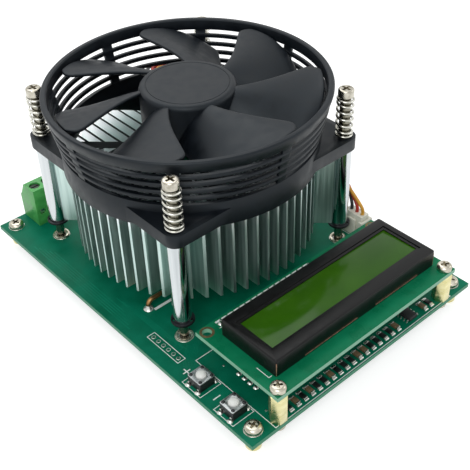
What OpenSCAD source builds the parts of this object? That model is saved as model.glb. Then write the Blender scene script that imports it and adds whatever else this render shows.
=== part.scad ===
// Bench dc electronic load: a finned cooler with a fan over power transistors,
// a two line display on standoffs, two push buttons and a screw terminal on one board.
// Frame: origin under the board's centre on the table, X along the display, Z up.

/* [Main board] */
// Board width along the display
board_w = 100; // [96:1:120]
// Board length from front to back
board_l = 140; // [138:1:170]
// Board thickness
board_t = 1.6; // [1:0.1:2.4]
// Corner hole distance from both board edges
corner_inset = 4.5; // [4:0.1:6]

/* [Feet and screws] */
// Height of the round feet
foot_h = 5.5; // [5:0.5:12]
// Diameter of the round feet
foot_d = 5; // [4.5:0.1:7]
// Thread diameter of the small screws
thread_d = 3; // [2.5:0.1:3.5]
// Diameter of the pan heads
pan_d = 5.5; // [5:0.1:6.5]
// Height of the pan heads
pan_h = 2; // [1.5:0.1:3]
// Thread length inside a standoff
thread_in = 2.4; // [2:0.1:2.6]
// Thread length inside a foot
foot_thread = 1.6; // [1.2:0.1:1.7]
// Radial gap between a shank and its hole
fit_gap = 0.05; // [0.03:0.01:0.1]

/* [Display] */
// Distance from the board's sides to the display board
lcd_margin = 10; // [8.6:0.1:11]
// Display board depth
lcd_d = 36; // [34:1:40]
// Display board thickness
lcd_t = 1.6; // [1:0.1:2]
// Height of the standoffs under the display
lcd_lift = 11; // [10:0.5:16]
// Display hole inset from its edges
lcd_inset = 2.5; // [2.5:0.1:3.5]
// Standoff width across flats
standoff_af = 5; // [4.5:0.1:5]
// Distance from the display board's ends to the bezel
bezel_margin = 4.5; // [3.6:0.1:6]
// Bezel depth
bezel_d = 23.8; // [22:0.2:26]
// Bezel height
bezel_h = 6.4; // [5:0.2:9]
// Bezel wall thickness
bezel_wall = 0.8; // [0.5:0.1:1.2]
// Sideways shift of the bezel on its board
bezel_shift = 0.7; // [0:0.1:1.5]
// Width of the bezel's face beside the window
window_margin = 3.3; // [2.6:0.1:5]
// Window depth
window_d = 13.8; // [12:0.2:16]
// Glass thickness
glass_t = 2.2; // [1.4:0.1:2.8]
// Pins of the display header
lcd_pins = 16; // [10:1:18]

/* [Heatsink] */
// Gap between the display board and the fins
lcd_gap = 5.3; // [5:0.1:7]
// Room behind the fins for the terminals
back_room = 14.5; // [14.4:0.1:18]
// Gap between the fins and the sleeves
sleeve_clear = 5.81; // [5.7:0.01:6.6]
// Air gap between the board and the fins
sink_gap = 8; // [7.5:0.1:12]
// Height of the fins
sink_h = 31.5; // [20:0.5:45]
// Distance between fins
fin_pitch = 4.05; // [3:0.05:6]
// Fin thickness
fin_t = 0.9; // [0.6:0.05:1.4]
// Thickness of the four diagonal arms
arm_t = 4; // [3:0.1:6]
// Radius of the solid core
core_r = 13; // [10:0.5:16]
// Radius of the contact boss under the core
boss_r = 17; // [15:0.5:20]
// Depth of the contact boss below the fins
boss_h = 2; // [1:0.1:3]
// Thickness of the insulating pad
pad_t = 1; // [0.5:0.1:1.5]

/* [Fan frame] */
// Thickness of the corner plates
plate_t = 4.5; // [3.5:0.1:6]
// Corner radius around each screw
plate_corner = 4; // [3.6:0.1:5]
// Length of the skirt below the fin tops
skirt_drop = 1.5; // [1:0.1:4]
// Wall of the skirt
skirt_wall = 1.2; // [1:0.1:1.8]
// Gap between skirt and fin tips
skirt_gap = 0.3; // [0.2:0.05:0.6]
// Height of the ring above the fin tops
ring_h = 24.7; // [24:0.1:30]
// Growth of the ring radius towards its top
ring_flare = 3.6; // [1:0.1:4]
// Wall of the slotted ring
ring_wall = 1.4; // [1:0.1:2]
// Height of the plain rim
rim_h = 3.9; // [3:0.1:6]
// Rows of slots
slot_rows = 5; // [2:1:5]
// Height of a slot
slot_h = 1.7; // [1:0.1:2]
// Height of a rib between slots
rib_h = 1.25; // [0.8:0.05:1.5]
// Upright bars around the ring
bar_count = 8; // [4:1:12]
// Angle covered by an upright bar
bar_deg = 4.6; // [3:0.1:8]
// Width of a strut
strut_w = 4; // [3:0.1:5]
// Height of a strut
strut_h = 3; // [2.2:0.1:3.6]

/* [Fan rotor] */
// Hub diameter
hub_d = 32; // [31:0.1:38]
// Hub height
hub_h = 17; // [15.6:0.1:17.4]
// Depth of the hub top below the ring top
hub_sink = 0.6; // [0.2:0.1:1]
// Hub wall thickness
hub_wall = 1.4; // [1.2:0.1:1.6]
// Number of blades
blade_count = 7; // [5:1:9]
// Gap between blade tips and ring
tip_gap = 1.2; // [0.8:0.1:3]
// Blade thickness
blade_t = 1.5; // [1:0.1:2]
// Angle covered by one blade
blade_deg = 44; // [30:1:50]
// Forward sweep of a blade from hub to tip
blade_sweep = 22; // [0:1:30]
// Drop from the leading to the trailing edge
blade_drop = 13; // [8:0.5:13.5]
// Shaft diameter
shaft_d = 3; // [2:0.1:3.4]

/* [Cooler screws] */
// Sleeve diameter
sleeve_d = 6; // [5.6:0.1:7]
// Shank diameter of the cooler screws
shank_d = 3.7; // [3.4:0.1:4]
// Head diameter of the cooler screws
head_d = 5.3; // [5.2:0.1:7]
// Head height of the cooler screws
head_h = 2.8; // [2.5:0.1:5]
// Length of the pressed springs
spring_l = 14.9; // [10:0.1:16]
// Spring wire diameter
wire_d = 0.8; // [0.5:0.05:0.9]
// Open turns of a spring
spring_turns = 5; // [3:0.5:6]

/* [Push buttons] */
// Button body width
key_w = 6; // [5.5:0.1:7]
// Button body height with its cover
key_h = 3.5; // [3:0.1:5]
// Cap diameter
key_cap_d = 3.4; // [3:0.1:4]
// Height of the cap top above the button's cover
key_rise = 1.1; // [1:0.1:5]
// Press travel
key_travel = 0.25; // [0.2:0.05:0.4]
// First button distance from the front edge
key_y = 13.5; // [10:0.5:18]
// Distance between the buttons
key_pitch = 14.7; // [12:0.1:20]
// Button distance from the left edge
key_x = 5.1; // [4.4:0.1:5.4]

/* [Terminal block] */
// Distance between the poles
pole_pitch = 5.08; // [5:0.02:6]
// Poles
pole_count = 2; // [2:1:2]
// Block height
block_h = 15.6; // [15.2:0.1:18]
// Block depth at the board
block_d = 10.5; // [9:0.1:12]
// Wire entry diameter
entry_d = 3.2; // [2.6:0.1:3.4]
// Clamp travel
clamp_travel = 2.2; // [1.5:0.1:2.3]
// Block centre distance from the left edge
block_x = 16.1; // [14:0.1:24]

/* [Fan connector] */
// Connector pitch
plug_pitch = 2.5; // [2.5:0.04:2.7]
// Header height
header_h = 7; // [6:0.1:8]
// Header width
header_w = 5.75; // [5.4:0.05:6]
// Height of the plug above the header
plug_up = 1.8; // [1:0.1:4]
// Wire diameter
lead_d = 1.2; // [1:0.05:1.25]

/* [Power inlet] */
// Inlet width
jack_w = 9; // [8.5:0.1:10]
// Inlet length
jack_l = 14; // [12:0.1:14.2]
// Inlet height
jack_h = 11; // [10:0.1:12]
// Barrel opening diameter
jack_bore = 6.2; // [5.6:0.1:6.6]

/* [Hidden] */

$fn = 64;
// Overlap of a cutting shape past the face that it cuts
cut = 1;
// Slip gap between a pin and its board hole
pin_gap = 0.1;
board_top = foot_h + board_t;
front_y = -board_l / 2;
left_x = -board_w / 2;
pan_recess = 0.55;

// Corner points
corner_points = [for (sx = [-1, 1], sy = [-1, 1])
    [sx * (board_w / 2 - corner_inset), sy * (board_l / 2 - corner_inset)]];

// Display stack
lcd_w = board_w - 2 * lcd_margin;
bezel_w = lcd_w - 2 * bezel_margin;
window_w = bezel_w - 2 * window_margin;
lcd_y = front_y + lcd_d / 2;
lcd_z = board_top + lcd_lift;
lcd_top = lcd_z + lcd_t;
lcd_holes = [for (sx = [-1, 1], sy = [-1, 1])
    [sx * (lcd_w / 2 - lcd_inset), lcd_y + sy * (lcd_d / 2 - lcd_inset)]];
standoff_points = [for (sx = [-1, 1]) [sx * (lcd_w / 2 - lcd_inset), lcd_y - lcd_d / 2 + lcd_inset]];
bezel_lip = 1;
bezel_step = 0.6;
glass_play = 0.2;
glass_w = bezel_w - 2 * bezel_wall - 2 * glass_play;
glass_d = bezel_d - 2 * bezel_wall - 2 * glass_play;
glass_z = lcd_top + bezel_h - bezel_wall - glass_t;
contact_w = 1.8;
backlight_d = glass_d - 2 * contact_w - 2 * glass_play;
pin_pitch = 2.54;
pin_w = 0.64;
strip_h = 2.5;
strip_w = 2.5;
socket_h = lcd_lift - strip_h;
header_x = -lcd_w / 2 + 8 + pin_pitch * (lcd_pins - 1) / 2;
header_y = lcd_y + lcd_d / 2 - lcd_inset;
header_points = [for (i = [0 : lcd_pins - 1]) [header_x + pin_pitch * (i - (lcd_pins - 1) / 2), header_y]];
pin_hole_d = pin_w * sqrt(2) + 2 * pin_gap;

// Cooler stack, filling the board between the display and the terminals
sink_r = (board_l - lcd_d - lcd_gap - back_room) / 2;
cooler_y = front_y + lcd_d + lcd_gap + sink_r;
post_pitch = sqrt(2) * (sink_r + sleeve_clear + sleeve_d / 2);
sink_z = board_top + sink_gap;
sink_top = sink_z + sink_h;
post_points = [for (sx = [-1, 1], sy = [-1, 1]) [sx * post_pitch / 2, cooler_y + sy * post_pitch / 2]];
plate_top = sink_top + plate_t;
head_z = plate_top + spring_l;
screw_hole_d = thread_d + 6 * fit_gap;
corner_play = 1;
corner_hole_d = thread_d + corner_play;
foot_tip = 0.5;
nut_af = 5.5;
nut_h = 2.4;
clip_t = 0.8;
clip_z = sink_z - clip_t;
clip_r = 3.9;
clip_shoulder = 1.2;
collar_h = 0.7;
collar_in = 2.1;
collar_out = 2.95;
web_t = arm_t - 1;
web_room = 0.3;
neck_d = shank_d - 1;
boss_z = sink_z - boss_h;
chip_h = sink_gap - boss_h - pad_t;
chip_w = 15.9;
chip_l = 20.8;
chip_space = 0.6;
chip_points = [for (sx = [-1, 1]) [sx * (chip_w + chip_space) / 2, cooler_y]];
leg_pitch = 5.45;
leg_w = 1.2;
leg_t = 0.6;
leg_out = 3;
leg_points = [for (p = chip_points, i = [-1 : 1]) [p.x + i * leg_pitch, p.y - chip_l / 2 - leg_out + leg_t / 2]];
tail = 1.5;
shunt_d = 1.6;
shunt_span = 15;
shunt_rise = 3.4;
shunt_bend = 2;
shunt_out = 0.7;
shunt_front = 18;
shunt_x = -post_pitch / 2 - shunt_out;
shunt_y = cooler_y - shunt_front;
shunt_points = [[shunt_x, shunt_y], [shunt_x + shunt_span, shunt_y]];

// Fan frame radii and heights, measured up from the fin tops
skirt_in = sink_r + skirt_gap;
skirt_out = skirt_in + skirt_wall;
lip_in = sink_r - 1.5;
lip_t = 2;
slot_bottom = ring_h - rim_h - slot_rows * slot_h - (slot_rows - 1) * rib_h;
function ring_out(z) = skirt_out + ring_flare * (z - slot_bottom) / (ring_h - slot_bottom);
function ring_in(z) = ring_out(z) - ring_wall;
rib_edge = 0.25;
bar_inset = 0.2;
motor_r = hub_d / 2;
motor_t = 2;
strut_angles = [68, 158, 248, 338];
lead_strut = strut_angles[0];
lead_notch_w = 5.6;
lead_notch_h = 2;
tube_out = 4;
tube_wall = 1;
bearing_out = tube_out - tube_wall - fit_gap;
hub_top = ring_h - hub_sink;
hub_bottom = hub_top - hub_h;
hub_r = hub_d / 2;
hub_in = hub_r - hub_wall;
hub_cap = 1.6;
hub_boss_r = 3.2;
hub_boss_h = 2.6;
tube_top = hub_top - hub_cap - hub_boss_h - 1;
driver_t = 1.2;
driver_r = hub_in - 0.2;
yoke_t = 0.8;
magnet_t = 0.9;
air_gap = 0.5;
yoke_out = hub_in - fit_gap;
magnet_out = yoke_out - yoke_t - fit_gap;
stator_r = magnet_out - magnet_t - air_gap;
coil_z = hub_bottom + 0.5;
coil_h = 9.6;
stator_z = coil_z + 1.2;
stator_h = coil_h - 2.4;
coil_in = tube_out + 2.6;
pole_t = 1.5;
arm_w = 3;
coil_w = 6.6;
coil_clear = 0.2;
coil_out = sqrt(pow(stator_r - pole_t, 2) - pow(coil_w / 2, 2)) - coil_clear;
shaft_clear = 0.3;

// Blade surface
blade_base = -26.6;
blade_top = hub_top - 1.1;
blade_root = hub_r - hub_wall / 2;
span_steps = 7;
chord_steps = 7;
tip_round = 5;
edge_thin = 0.55;

// Buttons
key_points = [for (i = [0, 1]) [left_x + key_x, front_y + key_y + i * key_pitch]];
cover_t = 0.3;
key_top = key_h + key_rise;
key_dome = 0.9;
key_flange_d = key_cap_d + 0.8;
key_well = 0.9;
key_gap = 0.15;
key_leg_x = 3.25;
key_leg_y = 2.25;
key_leg_w = 0.7;
key_leg_t = 0.3;
key_leg_points = [for (k = key_points, sx = [-1, 1], sy = [-1, 1]) k + [sx * key_leg_x, sy * key_leg_y]];

// Terminal block, measured from its front face
block_w = pole_pitch * pole_count + 0.3;
block_y = board_l / 2 - 0.2 - block_d;
block_cx = left_x + block_x;
block_top_d = 6.9;
pole_x = [for (i = [0 : pole_count - 1]) block_cx + pole_pitch * (i - (pole_count - 1) / 2)];
cavity_y = 0.7;
cavity_d = 4.5;
cavity_w = 4.2;
cage_w = 3.9;
cage_d = 3.4;
cage_y = cavity_y + cavity_d - cage_d - 0.15;
cage_floor = 1;
cage_window = clamp_travel + 1.4;
cage_roof = 1.6;
cage_h = cage_floor + cage_window + cage_roof;
cage_z = 4.4;
cage_window_w = 2.9;
bar_t = 0.8;
bar_z = cage_z + cage_floor + cage_window - bar_t - 0.2;
bar_w = 2.5;
cavity_z = cage_z - 0.2;
cavity_h = cage_h + clamp_travel + 0.4;
screw_y = cage_y + cage_d / 2;
screw_d = 2.4;
screw_head_d = 3.6;
screw_head_h = 1.5;
ledge_t = 0.6;
screw_z = cavity_z + cavity_h + ledge_t;
entry_z = cage_z + cage_floor + (bar_z - cage_z - cage_floor) / 2;
contact_t = 0.5;
contact_w_pin = 1;
contact_y = cavity_y;
terminal_pins = [for (x = pole_x) [x, block_y + contact_y + contact_t / 2]];

// Fan connector
plug_ways = 3;
header_l = plug_pitch * (plug_ways - 1) + 4.9;
header_wall = 0.85;
header_floor = 1.6;
plug_clear = 1.2;
plug_front = 1.4;
plug_cx = post_pitch / 2 + clip_r + plug_clear + header_w / 2;
plug_cy = cooler_y - post_pitch / 2 - plug_front;
plug_points = [for (i = [-1 : plug_ways - 2]) [plug_cx, plug_cy + i * plug_pitch]];
plug_play = 0.15;
plug_top = board_top + header_h + plug_up;

// Lead route around the cooler axis: angle, radius, height over the fin tops, direction of
// the row of wires and the distance between them. The first points leave the motor.
lead_start = [[lead_strut, 13, 3.9, -22, 1.5], [lead_strut, 20, 3.7, -22, 1.5]];
// The rest follow the skirt: their radius counts from it, and a height below zero is a share
// of the drop to the plug.
lead_run = [
    [lead_strut, -13.6, 3.7, -22, 1.5], [lead_strut, -5.6, 4.3, -22, 1.5],
    [lead_strut, -2, 5.2, -22, 1.5], [lead_strut, 1.3, 5.2, -24, 1.5],
    [67.6, 4.9, 5.2, -46, 1.8], [62.4, 6.1, 5.2, -106, 1.8], [54.5, 3, 5.2, -128, 1.5],
    [45, 2.12, 5.2, -135, 1.36], [35, 2.15, 5.2, -145, 1.36], [25, 2.3, 5.2, -155, 1.4],
    [15, 2.6, 5, -165, 1.5], [6, 3.3, 3.2, -173, 1.5], [-6, 3.7, -0.08, -180, 1.5],
    [-16.6, 5.2, -0.29, -180, 1.5], [-25.4, 7.7, -0.5, -172, 1.6],
    [-31.8, 10.5, -0.67, -145, 2], [-36.9, 12.7, -0.82, -110, 2.3]
];
lead_drop = sink_top - plug_top;
lead_points = concat(lead_start, [for (q = lead_run)
    [q[0], skirt_out + q[1], q[2] < 0 ? q[2] * lead_drop : q[2], q[3], q[4]]]);
lead_rise = 2.2;
lead_in = 0.9;
lead_sides = 8;

// Small parts on the board
passive_l = 3.2;
passive_w = 1.6;
passive_t = 0.6;
passive_end = 0.5;
passive_count = 17;
row_left = 7.5;
row_right = 24.1;
passive_pitch = (lcd_w - row_left - row_right) / (passive_count - 1);
passive_x = -lcd_w / 2 + row_left;
passive_y = front_y + 3.6;
row_points = [for (i = [0 : passive_count - 1]) [passive_x + i * passive_pitch, passive_y]];
extra_right = [10.5, 7.5];
extra_points = [for (x = extra_right) [lcd_w / 2 - x, passive_y]];
passive_points = concat(row_points, extra_points);
amp_right = 17.2;
amp_c = [lcd_w / 2 - amp_right, front_y + 4.1];
amp_w = 3.9;
amp_l = 4.9;
amp_pins = 4;
amp_pitch = 1.27;
mcu_left = 34;
mcu_c = [-lcd_w / 2 + mcu_left, lcd_y - 1];
mcu_w = 7;
mcu_pins = 8;
mcu_pitch = 0.8;
chip_foot = 1;
chip_lift = 0.1;
package_t = 1.5;
pad_row_x = left_x + 6.3;
pad_row_y = front_y + 40.9;
pad_row = [for (i = [0 : 5]) [pad_row_x, pad_row_y + i * pin_pitch]];
side_pad_in = 5.8;
side_pads = [for (i = [0 : 3]) [-lcd_w / 2 + side_pad_in, front_y + 15.5 + i * pin_pitch]];

// Power inlet and its supply parts along the back edge
jack_cx = board_w / 2 - 14;
jack_y = board_l / 2 - 0.2 - jack_l;
jack_axis_z = 6.4;
jack_depth = 9.5;
jack_pin_d = 2;
inlet_in = 2;
inlet_points = [[jack_cx, jack_y + 0.9], [jack_cx, jack_y + 5.6], [jack_cx + jack_w / 2 - 0.6, jack_y + 3.2]];
regulator_gap = 11.5;
regulator_c = [jack_cx - jack_w / 2 - regulator_gap, board_l / 2 - 8];
capacitor_gap = 16;
capacitor_c = [regulator_c.x - capacitor_gap, board_l / 2 - 7.5];
capacitor_d = 8;
capacitor_h = 11.5;
capacitor_points = [for (s = [-1, 1]) capacitor_c + [s * 1.75, 0]];

// Every drilled hole of the main board as [x, y, diameter]
function drill(points, d) = [for (p = points) [p.x, p.y, d]];
drills = concat(
    drill(corner_points, corner_hole_d),
    drill(standoff_points, thread_d + 2 * fit_gap),
    drill(post_points, screw_hole_d),
    drill(header_points, pin_hole_d),
    drill(pad_row, 1),
    drill(side_pads, 1),
    drill(key_leg_points, key_leg_w + 2 * pin_gap),
    drill(leg_points, sqrt(leg_w * leg_w + leg_t * leg_t) + 2 * pin_gap),
    drill(shunt_points, shunt_d + 2 * pin_gap),
    drill(terminal_pins, sqrt(contact_w_pin * contact_w_pin + contact_t * contact_t) + 2 * pin_gap),
    drill(plug_points, pin_hole_d),
    drill(inlet_points, pin_hole_d),
    drill(capacitor_points, 0.8)
);

// Corner points of a rounded rectangle
function round_rect(w, d, r, steps = 6) = [
    for (q = [0 : 3], i = [0 : steps])
        let (a = q * 90 + i * 90 / steps,
             sx = (q == 0 || q == 3) ? 1 : -1,
             sy = (q < 2) ? 1 : -1)
            [sx * (w / 2 - r) + r * cos(a), sy * (d / 2 - r) + r * sin(a)]
];

// Faces of a tube skin with closed ends, for rings of points of equal length
function skin_faces(rings, sides) = concat(
    [[for (i = [0 : sides - 1]) i]],
    [for (k = [0 : rings - 2], i = [0 : sides - 1])
        [k * sides + i, (k + 1) * sides + i, (k + 1) * sides + (i + 1) % sides, k * sides + (i + 1) % sides]],
    [[for (i = [sides - 1 : -1 : 0]) (rings - 1) * sides + i]]
);

function unit(v) = v / norm(v);

// Tube of a small polygon along a list of points
module tube_along(path, d, sides) {
    n = len(path);
    points = [for (k = [0 : n - 1])
        let (t = unit(path[min(k + 1, n - 1)] - path[max(k - 1, 0)]),
             side = unit(cross(t, abs(t.z) > 0.9 ? [1, 0, 0] : [0, 0, 1])),
             up = cross(side, t))
            for (i = [0 : sides - 1])
                path[k] + d / 2 * (cos(360 * i / sides) * side + sin(360 * i / sides) * up)];
    polyhedron(points, skin_faces(n, sides));
}

// Square pin standing on its lower end
module square_pin(w, h) {
    translate([-w / 2, -w / 2, 0]) cube([w, w, h]);
}

// Screw with a domed head that points up, its shank hanging below the head
module pan_screw(head, height, shank, length) {
    edge = height * 0.45;
    slot = shank * 0.28;
    difference() {
        union() {
            rotate_extrude() polygon(concat(
                [[0, 0], [head / 2, 0], [head / 2, edge]],
                [for (a = [15 : 15 : 90])
                    [head / 2 * (0.45 + 0.55 * cos(a)), edge + (height - edge) * sin(a)]],
                [[0, height]]));
            translate([0, 0, -length]) cylinder(d = shank, h = length + height / 2);
        }
        for (a = [0, 90]) rotate(a)
            translate([-head * 0.3, -slot / 2, height * pan_recess]) cube([head * 0.6, slot, height]);
    }
}

module at_points(points, z) {
    for (p = points) translate([p.x, p.y, z]) children();
}

// Main board: one sheet with every hole drilled through it
module main_board() {
    color("#0b6b4a")
        translate([0, 0, foot_h]) linear_extrude(board_t) difference() {
            square([board_w, board_l], center = true);
            for (h = drills) translate([h.x, h.y]) circle(d = h.z, $fn = 32);
        }
}

// Round turned feet, tapped from below and wide open round the end of the board screw
module board_feet() {
    r = foot_d / 2;
    bore = thread_d / 2 + fit_gap;
    wide = corner_hole_d / 2;
    bevel = min(0.3, (r - wide) / 2);
    step_z = foot_h - foot_thread - foot_tip;
    color("#d8cf9a") at_points(corner_points, 0)
        rotate_extrude() polygon([[bore, 0], [r - bevel, 0], [r, bevel], [r, foot_h - bevel],
            [r - bevel, foot_h], [wide, foot_h], [wide, step_z], [bore, step_z]]);
}

module board_screws() {
    color("#cfcabb") at_points(corner_points, board_top)
        pan_screw(pan_d, pan_h, thread_d, board_t + foot_thread);
}

module lcd_standoffs() {
    color("#d8cf9a") at_points(standoff_points, board_top) difference() {
        cylinder(d = standoff_af / cos(30), h = lcd_lift, $fn = 6);
        translate([0, 0, -cut]) cylinder(d = thread_d + 2 * fit_gap, h = lcd_lift + 2 * cut);
    }
}

module lcd_screws() {
    color("#cfcabb") at_points(standoff_points, lcd_top)
        pan_screw(standoff_af, pan_h, thread_d, lcd_t + thread_in);
}

module standoff_screws() {
    color("#cfcabb") at_points(standoff_points, foot_h) mirror([0, 0, 1])
        pan_screw(standoff_af, pan_h, thread_d, board_t + thread_in);
}

module lcd_board() {
    color("#1d8f4e") translate([0, 0, lcd_z]) linear_extrude(lcd_t) difference() {
        translate([0, lcd_y]) square([lcd_w, lcd_d], center = true);
        for (p = lcd_holes) translate(p) circle(d = thread_d + 2 * fit_gap, $fn = 32);
        for (p = header_points) translate(p) circle(d = pin_hole_d, $fn = 32);
    }
}

// Folded bezel, open below, with a stepped window
module lcd_bezel() {
    color("#1b1c1f") translate([bezel_shift, lcd_y, lcd_top]) difference() {
        linear_extrude(bezel_h) polygon(round_rect(bezel_w, bezel_d, bezel_wall));
        translate([0, 0, (bezel_h - bezel_wall) / 2 - cut / 2])
            cube([bezel_w - 2 * bezel_wall, bezel_d - 2 * bezel_wall, bezel_h - bezel_wall + cut], center = true);
        translate([0, 0, bezel_h]) cube([window_w, window_d, 4 * bezel_wall], center = true);
        translate([0, 0, bezel_h])
            cube([window_w + 2 * bezel_lip, window_d + 2 * bezel_lip, bezel_step], center = true);
    }
}

module lcd_glass() {
    color("#3c5413") translate([bezel_shift - glass_w / 2, lcd_y - glass_d / 2, glass_z])
        cube([glass_w, glass_d, glass_t]);
}

// Light guide between the display board and the glass
module lcd_backlight() {
    color("#9fc32a") translate([bezel_shift - glass_w / 2, lcd_y - backlight_d / 2, lcd_top])
        cube([glass_w, backlight_d, glass_z - lcd_top]);
}

// Rubber contact strips under both long edges of the glass
module lcd_contact_strips() {
    color("#55585c") for (s = [-1, 1])
        translate([bezel_shift, lcd_y + s * (glass_d - contact_w) / 2, (lcd_top + glass_z) / 2])
            cube([glass_w, contact_w, glass_z - lcd_top], center = true);
}

// Resin drops over the two bare chips under the display board
module lcd_chip_blobs() {
    blob_r = 6.5;
    blob_h = 1.4;
    places = [-0.225, 0.2];
    forward = 2;
    color("#141414") for (s = places) translate([s * lcd_w, lcd_y - forward, lcd_z]) mirror([0, 0, 1])
        rotate_extrude() polygon(concat([[0, 0], [blob_r, 0]],
            [for (a = [0 : 15 : 90]) [blob_r - blob_h + blob_h * cos(a), blob_h * sin(a)]], [[0, blob_h]]));
}

module header_socket() {
    well = socket_h - 1.5;
    color("#17181a") translate([0, 0, board_top]) difference() {
        translate([header_x - pin_pitch * lcd_pins / 2, header_y - strip_w / 2, 0])
            cube([pin_pitch * lcd_pins, strip_w, socket_h]);
        for (p = header_points) translate([p.x, p.y, socket_h - well])
            cylinder(d = pin_hole_d, h = well + cut, $fn = 32);
    }
}

module header_strip() {
    color("#17181a") translate([0, 0, lcd_z - strip_h]) difference() {
        translate([header_x - pin_pitch * lcd_pins / 2, header_y - strip_w / 2, 0])
            cube([pin_pitch * lcd_pins, strip_w, strip_h]);
        for (p = header_points) translate([p.x, p.y, -cut]) square_pin(pin_w, strip_h + 2 * cut);
    }
}

// Upper pins of the strip and the solder tails of the socket
module header_pins() {
    dip = 5;
    color("#d8d2b0") for (p = header_points) {
        translate([p.x, p.y, lcd_z - strip_h - dip]) square_pin(pin_w, dip + strip_h + lcd_t + tail);
        translate([p.x, p.y, foot_h - tail]) square_pin(pin_w, tail + board_t);
    }
}

// Slots between the parallel fins of one quarter, wider towards the tips, their
// inner ends running along the two diagonal arms
module fin_slots() {
    reach = floor((sink_r / sqrt(2) - arm_t / 2) / fin_pitch);
    arm_edge = arm_t / sqrt(2);
    thin = fin_t * 0.12;
    for (k = [-reach - 1 : reach]) {
        a = k * fin_pitch + fin_t / 2;
        b = (k + 1) * fin_pitch - fin_t / 2;
        ya = abs(a) + arm_edge;
        yb = abs(b) + arm_edge;
        polygon([[a, ya], [a - thin, sink_r + cut], [b + thin, sink_r + cut], [b, yb]]);
    }
}

// Flat ends of the diagonal arms, hollowed to stand just off the sleeves
module sleeve_webs() {
    post_r = post_pitch / sqrt(2);
    inner = sink_r - arm_t / 2;
    for (q = [0 : 3]) rotate(45 + q * 90) difference() {
        translate([inner, -web_t / 2]) square([post_r - inner, web_t]);
        translate([post_r, 0]) circle(d = sleeve_d + 2 * fit_gap, $fn = 64);
    }
}

// Extruded heatsink: a solid core, four diagonal arms and quarters of parallel fins
module heatsink() {
    color("#c9ccd0") translate([0, cooler_y, 0]) {
        translate([0, 0, sink_z]) linear_extrude(sink_h) union() {
            circle(r = core_r);
            difference() {
                circle(r = sink_r, $fn = 128);
                for (q = [0 : 3]) rotate(q * 90) fin_slots();
            }
        }
        translate([0, 0, sink_z]) linear_extrude(sink_h - skirt_drop - web_room) sleeve_webs();
        translate([0, 0, boss_z]) cylinder(r = boss_r, h = boss_h);
    }
}

module thermal_pad() {
    color("#b9c4cf") translate([-chip_w - chip_space / 2, cooler_y - chip_l / 2, boss_z - pad_t])
        cube([2 * chip_w + chip_space, chip_l, pad_t]);
}

module power_transistors() {
    slope = 0.8;
    hole_r = 1.8;
    hole_y = chip_l / 2 - 6;
    color("#202124") at_points(chip_points, board_top) difference() {
        translate([chip_w / 2, 0, 0]) rotate([0, -90, 0]) linear_extrude(chip_w)
            polygon([[0, -chip_l / 2], [chip_h, -chip_l / 2], [chip_h, chip_l / 2], [0, chip_l / 2 - slope]]);
        translate([0, hole_y, -cut]) cylinder(r = hole_r, h = chip_h + 2 * cut);
    }
}

// Bent legs from each body down through the board
module transistor_legs() {
    exit_z = board_top + chip_h / 2;
    color("#d5d6d8") for (p = leg_points) {
        translate([p.x - leg_w / 2, p.y - leg_t / 2, exit_z - leg_t]) cube([leg_w, leg_out, leg_t]);
        translate([p.x - leg_w / 2, p.y - leg_t / 2, foot_h - tail])
            cube([leg_w, leg_t, exit_z - leg_t / 2 - foot_h + tail]);
    }
}

// Bridge of thick resistance wire that carries the load current
module shunt_wire() {
    color("#a8763a") {
        for (s = [0, 1]) translate([shunt_points[s].x, shunt_y, 0]) {
            translate([0, 0, foot_h - tail]) cylinder(d = shunt_d, h = tail + board_t + shunt_rise - shunt_bend, $fn = 32);
            translate([(s == 0 ? 1 : -1) * shunt_bend, 0, board_top + shunt_rise - shunt_bend])
                rotate([90, 0, s == 0 ? 0 : 180]) rotate(90)
                    rotate_extrude(angle = 90, $fn = 48) translate([shunt_bend, 0]) circle(d = shunt_d, $fn = 24);
        }
        translate([shunt_x + shunt_bend, shunt_y, board_top + shunt_rise]) rotate([0, 90, 0])
            cylinder(d = shunt_d, h = shunt_span - 2 * shunt_bend, $fn = 32);
    }
}

// Turned part of the fan frame: skirt, seat on the fins, slotted ring and rim
module frame_ring() {
    rim_z = ring_h - rim_h;
    top_r = ring_out(ring_h);
    base_in = skirt_out - ring_wall;
    rotate_extrude($fn = 128) polygon([
        [skirt_in, -skirt_drop], [skirt_out, -skirt_drop], [ring_out(slot_bottom), slot_bottom],
        [ring_in(slot_bottom), slot_bottom], [base_in, lip_t], [lip_in, lip_t], [lip_in, 0], [skirt_in, 0]]);
    for (i = [1 : slot_rows - 1]) {
        z = rim_z - i * (slot_h + rib_h);
        ro = ring_out(z + rib_h / 2);
        ri = ring_in(z + rib_h / 2);
        rotate_extrude($fn = 128) polygon([[ri, z], [ro - rib_edge, z], [ro, z + rib_edge],
            [ro, z + rib_h - rib_edge], [ro - rib_edge, z + rib_h], [ri, z + rib_h]]);
    }
    rotate_extrude($fn = 128) polygon([[ring_in(rim_z), rim_z], [ring_out(rim_z), rim_z],
        [top_r, ring_h - 1.1], [top_r, ring_h - 0.4], [top_r - 0.4, ring_h],
        [top_r - ring_wall - 0.2, ring_h], [top_r - ring_wall - 0.6, ring_h - 0.4]]);
    for (k = [0 : bar_count - 1]) rotate(k * 360 / bar_count - bar_deg / 2)
        rotate_extrude(angle = bar_deg, $fn = 128) polygon([
            [ring_in(slot_bottom) + bar_inset, slot_bottom - bar_inset],
            [ring_out(slot_bottom) - bar_inset, slot_bottom - bar_inset],
            [ring_out(rim_z) - bar_inset, rim_z + bar_inset],
            [ring_in(rim_z) + bar_inset, rim_z + bar_inset]]);
}

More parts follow.
